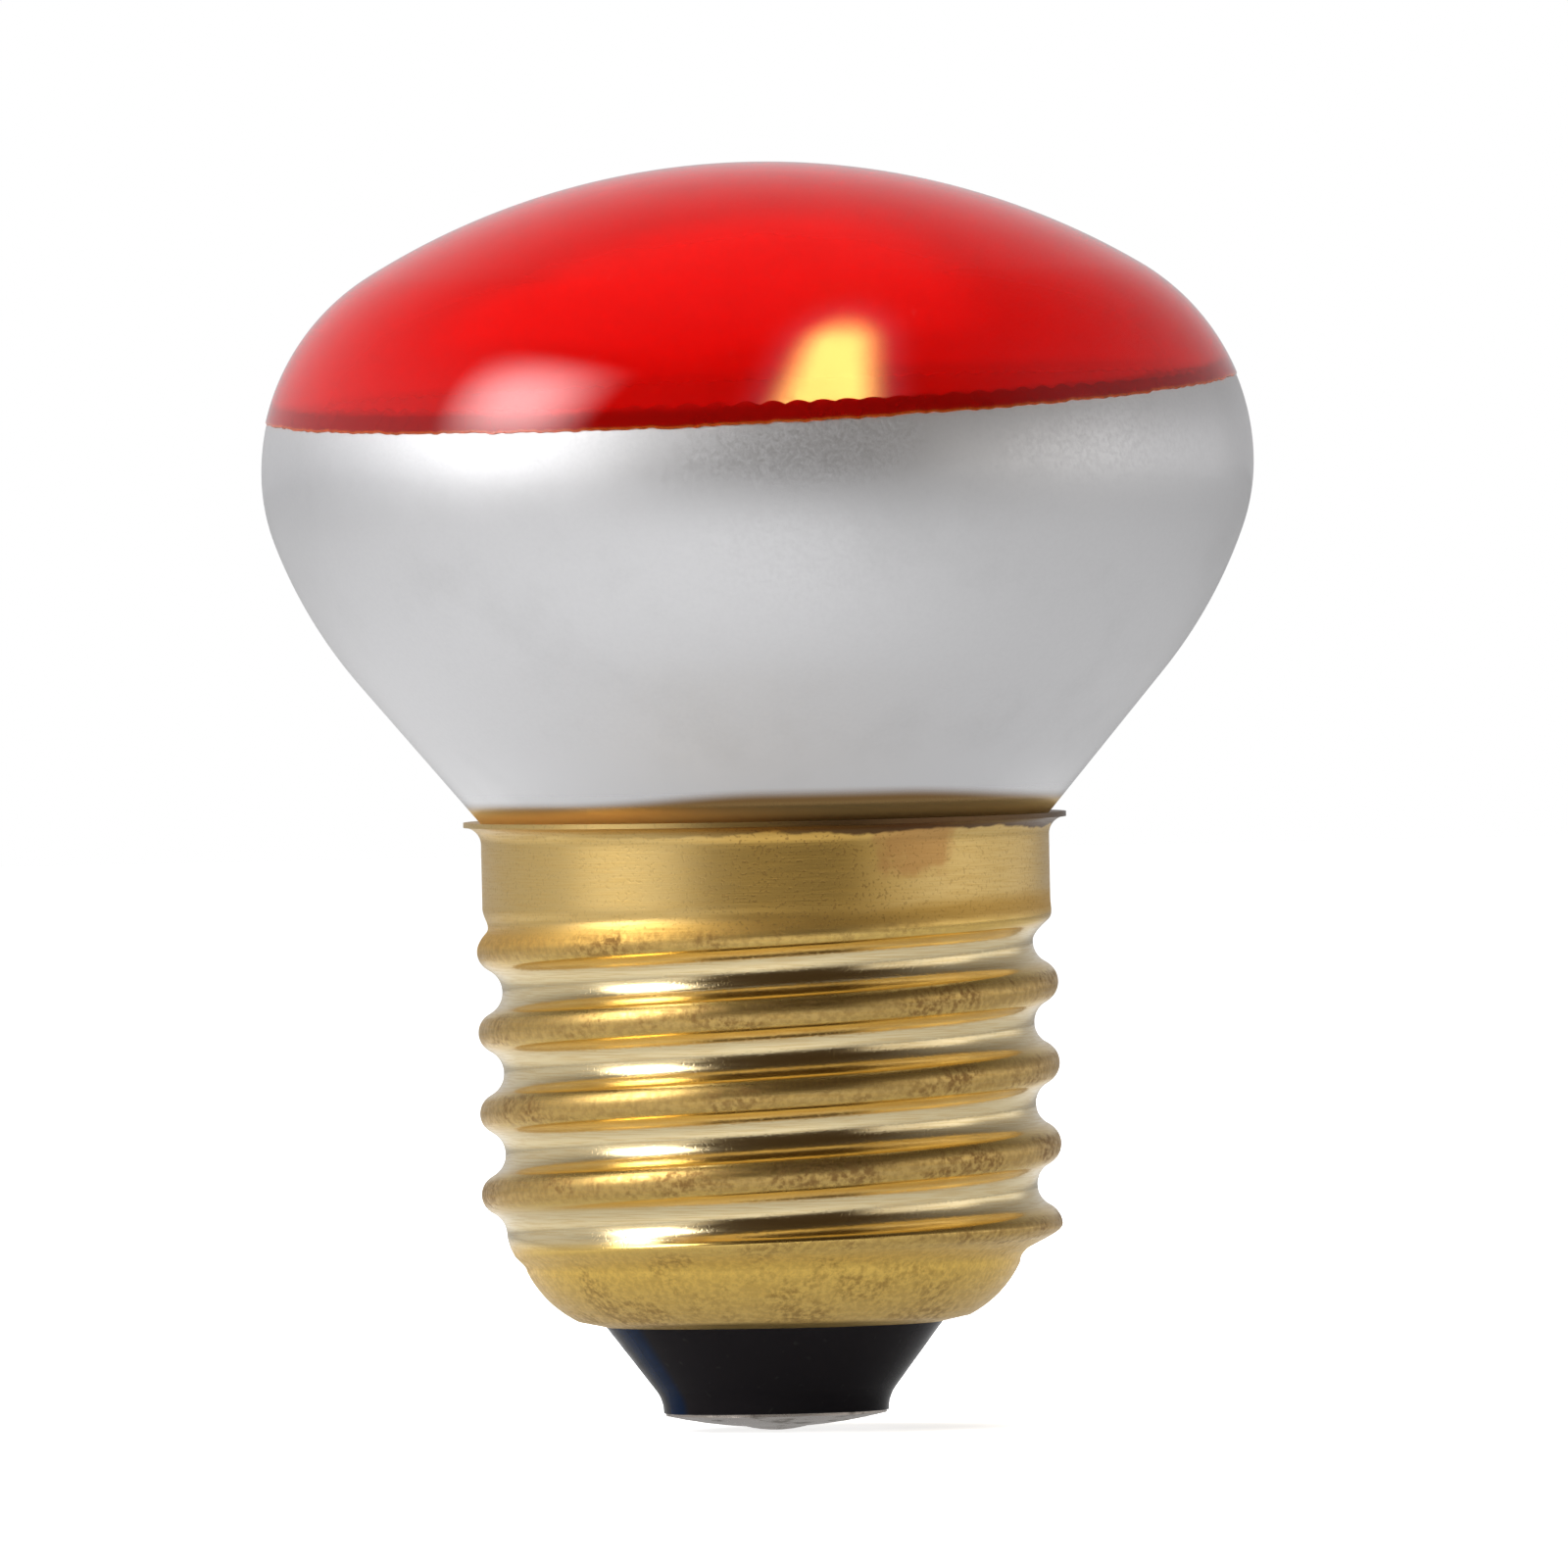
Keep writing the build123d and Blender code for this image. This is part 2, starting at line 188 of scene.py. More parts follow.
class Effect(Enum):
    """Surface effects that several finishes share, each built once as a node group."""

    BLOTCHES = "blotches"
    SPECKS = "specks"
    BRUSH_LINES = "brush_lines"

    def pattern(self, wires: Wiring, grain: Socket) -> Socket:
        """Draws the effect's noise at a grain."""
        if self is Effect.BRUSH_LINES:
            return wires.noise(wires.coords((1.0, 1.0, 28.0)), grain, detail=2.0)
        if self is Effect.SPECKS:
            return wires.noise(wires.coords(), grain, detail=1.0, roughness=0.3)
        return wires.noise(wires.coords(), grain, detail=5.0, roughness=0.62)

    def group(self) -> bpy.types.ShaderNodeTree:
        """Returns the effect's node group, built on its first use."""
        found = bpy.data.node_groups.get(self.value)
        if found:
            return found
        tree = bpy.data.node_groups.new(self.value, "ShaderNodeTree")
        for name in ("Grain", "Cover", "Edge"):
            tree.interface.new_socket(name, in_out="INPUT", socket_type="NodeSocketFloat")
        tree.interface.new_socket("Mask", in_out="OUTPUT", socket_type="NodeSocketFloat")
        wires = Wiring(tree)
        given = wires.node("NodeGroupInput").outputs
        low = wires.minus(1.0, given["Cover"])
        high = wires.plus(low, given["Edge"])
        wires.node("NodeGroupOutput", {"Mask": wires.span(self.pattern(wires, given["Grain"]), low, high)})
        return tree

    def mask(self, wires: Wiring, grain: float, cover: float, edge: float) -> Socket:
        """Places the effect in a material.

        Args:
            wires: The material's nodes.
            grain: Features in a metre.
            cover: Share of the pattern's range that is covered, 0 to 1.
            edge: Width of the soft edge, in the pattern's range.

        Returns:
            Mask from 0 to 1.
        """
        feeds = {"Grain": grain, "Cover": cover, "Edge": edge}
        return wires.node("ShaderNodeGroup", feeds, node_tree=self.group()).outputs["Mask"]


def open_material(name: str) -> tuple[Material, Wiring]:
    """Starts a material with no nodes."""
    material = bpy.data.materials.new(name)
    material.use_nodes = True
    material.node_tree.nodes.clear()
    return material, Wiring(material.node_tree)


class Finish:
    """Look of a surface, as the inputs of one Principled shader."""

    name: str

    def paint(self, wires: Wiring) -> Feeds:
        """Gives the shader's inputs: plain values, and patterns that vary over the piece."""
        raise NotImplementedError

    def material(self) -> Material:
        """Builds the finish as a material."""
        material, wires = open_material(self.name)
        shader = wires.node("ShaderNodeBsdfPrincipled", self.paint(wires))
        wires.node("ShaderNodeOutputMaterial", {"Surface": shader.outputs["BSDF"]})
        return material


@dataclass(frozen=True)
class SilveredGlass(Finish):
    """Satin aluminium film seen through the clear lower glass, with a painted reflection of the brass at the
    neck.
    """

    name: str = "silvered_glass"
    film: Colour = (0.80, 0.80, 0.815)
    shade: Colour = (0.70, 0.70, 0.71)
    # Painted reflection of the brass in the neck: a dark tone, and a bright tone near the flange
    painted_brass_reflection: Colour = (0.25, 0.125, 0.02)
    glow: Colour = (0.98, 0.68, 0.24)
    cloud: Pattern = (140.0, 0.55, 0.3)
    cloud_share: float = 0.5
    grain: float = 5200.0
    painted_reflection_middle: float = 3.0
    painted_reflection_sides: Range = (3.0, 12.0)
    painted_reflection_drop: float = 0.5
    painted_reflection_heights: Step = (28.4, 29.0, 0.95, 0.0)
    painted_reflection_bright_heights: Range = (28.4, 27.7)
    soft_heights: Step = (28.3, 27.6, 0.0, 0.4)
    calm_heights: Range = (29.4, 31.5)
    clear_heights: Step = (27.6, 31.5, 0.45, 1.0)
    haze: Step = (0.3, 0.7, 0.44, 0.54)
    edge_haze: Range = (0.0, 0.1)
    edge_relief: Range = (0.25, 1.0)
    coat: Range = (0.35, 0.2)
    painted_reflection_coat: Step = (0.0, 0.9, 1.0, 0.1)

    def paint(self, wires: Wiring) -> Feeds:
        """Gives the shader's inputs."""
        place = wires.axes(wires.coords())
        height = place["Z"]
        edge = wires.attribute("edge")
        cloud = Effect.BLOTCHES.mask(wires, *self.cloud)
        tone = wires.blend(wires.times(cloud, self.cloud_share), self.film, self.shade)
        # Painted reflection: a band of brass tone round the neck, sagging at the sides, brighter near the
        # flange and with less coat
        aside = wires.math("ABSOLUTE", wires.minus(place["X"], self.painted_reflection_middle * MM))
        bent = wires.plus(height, wires.span_mm(aside, *self.painted_reflection_sides, 0.0, self.painted_reflection_drop * MM))
        painted_reflection_band = wires.span_mm(bent, *self.painted_reflection_heights)
        painted_brass_reflection = wires.blend(wires.span_mm(height, *self.painted_reflection_bright_heights), self.painted_brass_reflection, self.glow)
        grains = wires.minus(wires.noise(wires.coords(), self.grain, detail=2.0), 0.5)
        sparkle = wires.math("MULTIPLY_ADD", grains, wires.span_mm(height, *self.calm_heights), 0.5)
        hazy = wires.times(wires.span(sparkle, *self.haze), wires.span_mm(height, *self.clear_heights))
        soft = wires.span_mm(height, *self.soft_heights)
        relief = wires.times(sparkle, wires.share(edge, *self.edge_relief))
        return {
            "Metallic": 1.0,
            "Coat Roughness": 0.08,
            "Coat IOR": 1.5,
            "Base Color": wires.blend(painted_reflection_band, tone, painted_brass_reflection),
            "Roughness": wires.plus(hazy, wires.share(edge, *self.edge_haze), soft),
            "Coat Weight": wires.times(
                wires.share(cloud, *self.coat), wires.span(painted_reflection_band, *self.painted_reflection_coat)
            ),
            "Normal": wires.bump(relief, strength=0.25, depth=0.03),
        }


@dataclass(frozen=True)
class MirrorFilm(Finish):
    """One side of the silver film: clear mirror with hazy places."""

    name: str
    film: Colour
    hazy: Colour
    rough: Range
    mirror: float = 1.0
    haze: Pattern = (260.0, 0.6, 0.3)

    def paint(self, wires: Wiring) -> Feeds:
        """Gives the shader's inputs."""
        haze = Effect.BLOTCHES.mask(wires, *self.haze)
        return {
            "Metallic": self.mirror,
            "Base Color": wires.blend(haze, self.film, self.hazy),
            "Roughness": wires.share(haze, *self.rough),
        }


@dataclass(frozen=True)
class RedGlass(Finish):
    """Clear glass under a transparent red lacquer, thick above its edge and thin and orange along it, with
    painted shade darkening the red just above the edge.
    """

    name: str = "red_glass"
    lacquer: Colour = (0.92, 0.005, 0.0045)
    deep: Colour = (0.88, 0.004, 0.0035)
    painted_strip_shade: Colour = (0.60, 0.003, 0.0025)
    fringe: Colour = (0.95, 0.22, 0.03)
    ripple_grain: float = 160.0
    deep_ripples: Range = (0.35, 0.7)
    painted_strip_shade_edge: Range = (0.0, 0.3)
    fringe_edge: Range = (0.84, 1.0)
    dust: Pattern = (1500.0, 0.26, 0.05)
    rough: Range = (0.015, 0.12)

    def paint(self, wires: Wiring) -> Feeds:
        """Gives the shader's inputs."""
        ripple = wires.noise(wires.coords(), self.ripple_grain)
        edge = wires.attribute("edge")
        tone = wires.blend(wires.span(ripple, *self.deep_ripples), self.lacquer, self.deep)
        # Painted shade: darker red over the lowest millimetre, where the dark film strip shows through
        tone = wires.blend(wires.span(edge, *self.painted_strip_shade_edge), tone, self.painted_strip_shade)
        return {
            "Transmission Weight": 0.7,
            "IOR": 1.5,
            "Base Color": wires.blend(wires.span(edge, *self.fringe_edge), tone, self.fringe),
            "Roughness": wires.share(Effect.SPECKS.mask(wires, *self.dust), *self.rough),
            "Normal": wires.bump(ripple, strength=0.05, depth=0.06),
        }


@dataclass(frozen=True)
class Brass(Finish):
    """Rolled brass sheet: paler in the grooves and gold on the flanks as painted light, satin on the collar
    and bowl, brown on the crests, and darker on the collar's middle and foot with tarnish and painted shade.
    """

    name: str = "brass"
    painted_light_groove_tone: Colour = (0.90, 0.745, 0.44)
    painted_interreflection_gold: Colour = (0.82, 0.53, 0.085)
    yellow: Colour = (0.97, 0.65, 0.15)
    dull: Colour = (0.80, 0.565, 0.215)
    deep: Colour = (0.66, 0.40, 0.09)
    worn: Colour = (0.55, 0.365, 0.135)
    brown: Colour = (0.27, 0.14, 0.045)
    dark_rim_tone: Colour = (0.11, 0.058, 0.028)
    copper: Colour = (0.58, 0.30, 0.10)
    blotches: Pattern = (260.0, 0.56, 0.2)
    specks: Pattern = (7500.0, 0.42, 0.12)
    lines: Pattern = (520.0, 0.62, 0.3)
    grime: Pattern = (3400.0, 0.64, 0.27)
    collar_climb: float = 0.05
    collar_heights: Range = (22.0, 22.7)
    crease_tarnish_and_shade_heights: Step = (23.7, 22.9, 0.0, 0.8)
    bowl_heights: Range = (9.0, 7.8)
    bowl_yellow_heights: Step = (5.2, 7.8, 0.45, 0.95)
    crest_waves: Range = (0.2, 0.8)
    flank_waves: Step = (-0.7, 0.2, 0.0, 0.75)
    dull_waves: Range = (0.45, 0.95)
    collar_shade_middle: float = 1.6
    collar_shade_sides: Step = (6.5, 1.5, 0.0, 0.8)
    pits_by_collar_shade: Step = (0.0, 0.8, 0.25, 0.6)
    rim_grain: float = 420.0
    rim_tear: float = 0.9
    rim_heights: Range = (27.23, 27.37)
    rim_sides: Step = (-9.0, 5.0, 0.12, 0.95)
    stain_place: Triple = (7.0, -10.6, 27.0)
    stain_grain: float = 500.0
    stain_tear: float = 4.0
    stain_reach: Step = (4.5, 3.6, 0.0, 0.75)
    bowl_wear: float = 0.75
    grime_patches: Range = (0.4, 1.0)
    worn_share: float = 0.7
    line_share: float = 0.3
    tarnish_share: float = 0.8
    rough: Range = (0.16, 0.31)
    line_rough: float = 0.06
    foot_rough: float = 0.25
    tarnish_rough: float = 0.2
    line_relief: float = 0.3
    pit_relief: float = -0.6

    def paint(self, wires: Wiring) -> Feeds:
        """Gives the shader's inputs."""
        place = wires.coords()
        axes = wires.axes(place)
        across, height = axes["X"], axes["Z"]
        wave = wires.attribute("crest")
        blotches = Effect.BLOTCHES.mask(wires, *self.blotches)
        specks = Effect.SPECKS.mask(wires, *self.specks)
        lines = Effect.BRUSH_LINES.mask(wires, *self.lines)
        grime = Effect.BLOTCHES.mask(wires, *self.grime)

        # Places on the shell
        climbed = wires.minus(height, wires.times(across, self.collar_climb))
        collar = wires.span_mm(climbed, *self.collar_heights)
        bowl = wires.span_mm(height, *self.bowl_heights)
        satin = wires.math("MAXIMUM", collar, bowl)
        dulled = wires.span(wave, *self.dull_waves)
        # Yellower tone on the bowl, stronger higher up
        bowl_yellow = wires.times(bowl, wires.span_mm(height, *self.bowl_yellow_heights))
        # Foot of the collar, the crease above the first crest: tarnish, and darker as painted shade
        foot = wires.times(wires.span_mm(climbed, *self.crease_tarnish_and_shade_heights), collar)
        # Middle of the collar: tarnish and pits, and darker as painted shade where it mirrors the dark room
        # in front
        middle = wires.math("ABSOLUTE", wires.minus(across, self.collar_shade_middle * MM))
        collar_tarnish_and_shade = wires.times(wires.span_mm(middle, *self.collar_shade_sides), collar)

        # Wear
        crest = wires.span(wave, *self.crest_waves)
        rubbed = wires.math("MAXIMUM", crest, wires.times(bowl, self.bowl_wear))
        grimy = wires.times(grime, wires.share(blotches, *self.grime_patches), rubbed)
        pits = wires.times(specks, satin, wires.span(collar_tarnish_and_shade, *self.pits_by_collar_shade))
        tarnish = wires.math("MAXIMUM", grimy, pits)
        # Dark tone along the flange's rim, stronger towards +X
        torn = wires.plus(height, wires.times(wires.noise(place, self.rim_grain), self.rim_tear * MM))
        rim = wires.times(wires.span_mm(torn, *self.rim_heights), wires.span_mm(across, *self.rim_sides))
        tear = wires.times(wires.noise(place, self.stain_grain), self.stain_tear * MM)
        stained = wires.plus(wires.distance(place, self.stain_place), tear)

        # Colour, from the sheet itself to what lies on it
        # Painted light: paler brass in the grooves, deeper gold on flanks and crests as painted
        # inter-reflection
        tone = wires.blend(wires.span(wave, *self.flank_waves), self.painted_light_groove_tone, self.painted_interreflection_gold)
        layers = (
            (wires.times(dulled, self.worn_share), self.worn),
            (satin, self.dull),
            (wires.times(lines, self.line_share), self.deep),
            (bowl_yellow, self.yellow),
            # Painted shade with tarnish on the collar's middle and foot
            (wires.math("MAXIMUM", collar_tarnish_and_shade, foot), self.deep),
            (wires.span_mm(stained, *self.stain_reach), self.copper),
            (wires.times(tarnish, self.tarnish_share), self.brown),
            (rim, self.dark_rim_tone),
        )
        for cover, colour in layers:
            tone = wires.blend(cover, tone, colour)

        rough = wires.share(wires.math("MAXIMUM", satin, dulled), *self.rough)
        added = ((lines, self.line_rough), (foot, self.foot_rough), (tarnish, self.tarnish_rough))
        for mask, amount in added:
            rough = wires.plus(rough, wires.times(mask, amount))
        pitted = wires.times(specks, self.pit_relief)
        relief = wires.plus(wires.times(lines, satin, self.line_relief), pitted)
        normal = wires.bump(relief, strength=0.18, depth=0.02)
        return {"Metallic": 1.0, "Base Color": tone, "Roughness": rough, "Normal": normal}


@dataclass(frozen=True)
class BlackGlass(Finish):
    """Cast black glass of the insulator, glossy with faint flow lines, dust and a painted bluish reflection
    down one side.
    """

    name: str = "black_glass"
    body: Colour = (0.015, 0.013, 0.014)
    dusty: Colour = (0.022, 0.021, 0.02)
    sheen: Colour = (0.4, 0.65, 1.0)
    painted_blue_reflection: Colour = (0.004, 0.013, 0.04)
    blue_reflection_side: float = 62.0
    blue_reflection_width: Range = (12.0, 5.0)
    dust: Pattern = (2600.0, 0.3, 0.1)
    flow_grain: float = 300.0
    flow_stretch: Triple = (1.0, 1.0, 6.0)
    rough: Step = (0.3, 0.7, 0.12, 0.24)

    def paint(self, wires: Wiring) -> Feeds:
        """Gives the shader's inputs."""
        flow = wires.noise(wires.coords(self.flow_stretch), self.flow_grain)
        place = wires.axes(wires.coords())
        # Painted reflection: a bluish streak down one side of the cone
        turned = wires.math("ARCTAN2", place["X"], wires.times(place["Y"], -1.0))
        off = wires.math("ABSOLUTE", wires.plus(turned, math.radians(self.blue_reflection_side)))
        painted_blue_reflection = wires.span(off, *(math.radians(width) for width in self.blue_reflection_width))
        tone = wires.blend(Effect.SPECKS.mask(wires, *self.dust), self.body, self.dusty)
        return {
            "IOR": 1.3,
            "Specular IOR Level": 0.1,
            "Specular Tint": self.sheen,
            "Base Color": wires.blend(painted_blue_reflection, tone, self.painted_blue_reflection),
            "Roughness": wires.span(flow, *self.rough),
            "Normal": wires.bump(flow, strength=0.1, depth=0.05),
        }


@dataclass(frozen=True)
class DullMetal(Finish):
    """Wire or tinned sheet: one base tone, a stained tone, grain and fine scratches."""

    name: str
    base: Colour
    stained: Colour
    rough: Range
    stains: Pattern = (900.0, 0.5, 0.2)
    lines: Pattern = (900.0, 0.55, 0.25)

    def paint(self, wires: Wiring) -> Feeds:
        """Gives the shader's inputs."""
        stains = Effect.BLOTCHES.mask(wires, *self.stains)
        lines = Effect.BRUSH_LINES.mask(wires, *self.lines)
        return {
            "Metallic": 1.0,
            "Base Color": wires.blend(stains, self.base, self.stained),
            "Roughness": wires.share(stains, *self.rough),
            "Normal": wires.bump(lines, strength=0.2, depth=0.03),
        }


@dataclass(frozen=True)
class ClearGlass(Finish):
    """Clear lead glass of the stem, with faint draw lines."""

    name: str = "clear_glass"
    tint: Colour = (0.93, 0.96, 0.95)
    drawn: Colour = (0.88, 0.93, 0.91)
    grain: float = 120.0
    stretch: Triple = (8.0, 8.0, 1.0)
    rough: Step = (0.3, 0.7, 0.01, 0.05)

    def paint(self, wires: Wiring) -> Feeds:
        """Gives the shader's inputs."""
        draw = wires.noise(wires.coords(self.stretch), self.grain, detail=2.0)
        return {
            "Transmission Weight": 1.0,
            "IOR": 1.5,
            "Base Color": wires.blend(draw, self.tint, self.drawn),
            "Roughness": wires.span(draw, *self.rough),
            "Normal": wires.bump(draw, strength=0.08, depth=0.05),
        }


@dataclass(frozen=True)
class BakedCement(Finish):
    """Matt basing cement with a coarse grain."""

    name: str = "cement"
    pale: Colour = (0.52, 0.45, 0.33)
    dark: Colour = (0.36, 0.29, 0.20)
    grain: Pattern = (1300.0, 0.5, 0.3)
    rough: Range = (0.75, 0.95)

    def paint(self, wires: Wiring) -> Feeds:
        """Gives the shader's inputs."""
        grain = Effect.BLOTCHES.mask(wires, *self.grain)
        return {
            "Specular IOR Level": 0.2,
            "Base Color": wires.blend(grain, self.pale, self.dark),
            "Roughness": wires.share(grain, *self.rough),
            "Normal": wires.bump(grain, strength=0.5, depth=0.1),
        }


def lathe_mesh(name: str, rows: np.ndarray, poles: bool) -> Mesh:
    """Makes a closed mesh from outlines set round the axis.

    Args:
        name: Name of the mesh.
        rows: Radius and height in millimetres, as an array of (turns, points, 2).
        poles: True if each outline starts and ends on the axis, False if it closes on itself.

    Returns:
        The mesh, with its vertices in order of turn, then point, and poles last.
    """
    turns = rows.shape[0]
    angles = np.arange(turns) * FULL_TURN / turns
    body = rows[:, 1:-1] if poles else rows
    width = body.shape[1]
    points = np.empty((turns, width, 3))
    points[..., 0] = body[..., 0] * np.cos(angles)[:, None]
    points[..., 1] = body[..., 0] * np.sin(angles)[:, None]
    points[..., 2] = body[..., 1]
    corners = [tuple(p) for p in points.reshape(-1, 3) * MM]
    first, last = len(corners), len(corners) + 1
    faces, caps = [], []
    for turn in range(turns):
        here = turn * width
        beside = (turn + 1) % turns * width
        for row in range(width - 1 if poles else width):
            below = (row + 1) % width
            faces.append((here + row, here + below, beside + below, beside + row))
        caps += [(first, here, beside), (here + width - 1, last, beside + width - 1)]
    if poles:
        corners += [(0, 0, rows[0, 0, 1] * MM), (0, 0, rows[0, -1, 1] * MM)]
        faces += caps
    mesh = bpy.data.meshes.new(name)
    mesh.from_pydata(corners, [], faces)
    return mesh


def face_outwards(mesh: Mesh, sharp_angle: float) -> None:
    """Turns a closed mesh's faces outwards and shades it smooth up to an angle in degrees."""
    work = bmesh.new()
    work.from_mesh(mesh)
    bmesh.ops.recalc_face_normals(work, faces=work.faces)
    if work.calc_volume(signed=True) < 0:
        bmesh.ops.reverse_faces(work, faces=work.faces)
    work.to_mesh(mesh)
    work.free()
    mesh.shade_smooth()
    mesh.set_sharp_from_angle(angle=math.radians(sharp_angle))


def store_values(mesh: Mesh, name: str, values: np.ndarray) -> None:
    """Keeps one number for each vertex on the mesh, for its finish to read."""
    kept = mesh.attributes.new(name, "FLOAT", "POINT")
    kept.data.foreach_set("value", values.astype(np.float32))


def link_object(name: str, data: bpy.types.ID) -> Object:
    """Puts an object with this mesh or camera in the scene."""
    made = bpy.data.objects.new(name, data)
    bpy.context.scene.collection.objects.link(made)
    return made


def place_piece(name: str, mesh: Mesh, slot: Slot, *nodes: str) -> Object:
    """Puts a finished mesh in the scene as a piece of the lamp.

    Args:
        name: Name of the piece.
        mesh: Its mesh, in place.
        slot: Material slot that it belongs to; not used.
        nodes: Solids that it stands for.

    Returns:
        The piece.
    """
    piece = link_object(name, mesh)
    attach(piece, "root")
    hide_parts(*nodes)
    log.info("piece %s: %d faces", name, len(mesh.polygons))
    return piece


def dress_node(node: str, material: Material) -> None:
    """Gives a solid that stays in view its finish."""
    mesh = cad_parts[node].data
    mesh.materials.clear()
    mesh.materials.append(material)
    log.info("solid %s: %s", node, material.name)


def grown_mesh(seed: Mesh, tree: bpy.types.GeometryNodeTree, sizes: Feeds) -> Mesh:
    """Runs a geometry tree and keeps its result as a plain mesh.

    Args:
        seed: Mesh that goes into the tree.
        tree: The tree.
        sizes: Its inputs by name.

    Returns:
        The resulting mesh.
    """
    carrier = link_object(tree.name, seed)
    grower = carrier.modifiers.new(tree.name, "NODES")
    grower.node_group = tree
    for item in tree.interface.items_tree:
        if item.in_out == "INPUT" and item.name in sizes:
            grower[item.identifier] = sizes[item.name]
    graph = bpy.context.evaluated_depsgraph_get()
    result = bpy.data.meshes.new_from_object(
        carrier.evaluated_get(graph), preserve_all_data_layers=True, depsgraph=graph
    )
    bpy.data.objects.remove(carrier)
    result.name = tree.name
    return result


def open_tree(name: str, sizes: Feeds) -> tuple[Wiring, bpy.types.NodeOutputs]:
    """Starts a geometry tree with a named input for each size.

    Args:
        name: Name of the tree.
        sizes: The inputs that it gets; a material input is made for a material.

    Returns:
        The tree's nodes and what its input node gives.
    """
    tree = bpy.data.node_groups.new(name, "GeometryNodeTree")
    tree.interface.new_socket("Geometry", in_out="INPUT", socket_type="NodeSocketGeometry")
    kinds = {int: "NodeSocketInt", float: "NodeSocketFloat"}
    for size, value in sizes.items():
        kind = kinds.get(type(value), "NodeSocketMaterial")
        tree.interface.new_socket(size, in_out="INPUT", socket_type=kind)
    tree.interface.new_socket("Geometry", in_out="OUTPUT", socket_type="NodeSocketGeometry")
    wires = Wiring(tree)
    return wires, wires.node("NodeGroupInput").outputs


def close_tree(wires: Wiring, shape: Socket, material: Socket) -> None:
    """Ends a geometry tree with plain geometry in its material."""
    whole = wires.node("GeometryNodeRealizeInstances", {"Geometry": shape}).outputs["Geometry"]
    coated = wires.node("GeometryNodeSetMaterial", {"Geometry": whole, "Material": material})
    wires.node("NodeGroupOutput", {0: coated.outputs["Geometry"]})


def arc(centre: Point, radius: float, start: float, end: float, steps: int) -> list[Point]:
    """Points along an arc from a start angle to an end angle in degrees, without its last one."""
    angles = np.radians(np.linspace(start, end, steps, endpoint=False))
    return [(centre[0] + radius * math.cos(a), centre[1] + radius * math.sin(a)) for a in angles]


def line(start: Point, end: Point, steps: int, whole: bool = False) -> list[Point]:
    """Points along a straight line, with its last one only if it is whole."""
    return [tuple(p) for p in np.linspace(start, end, steps, endpoint=whole)]


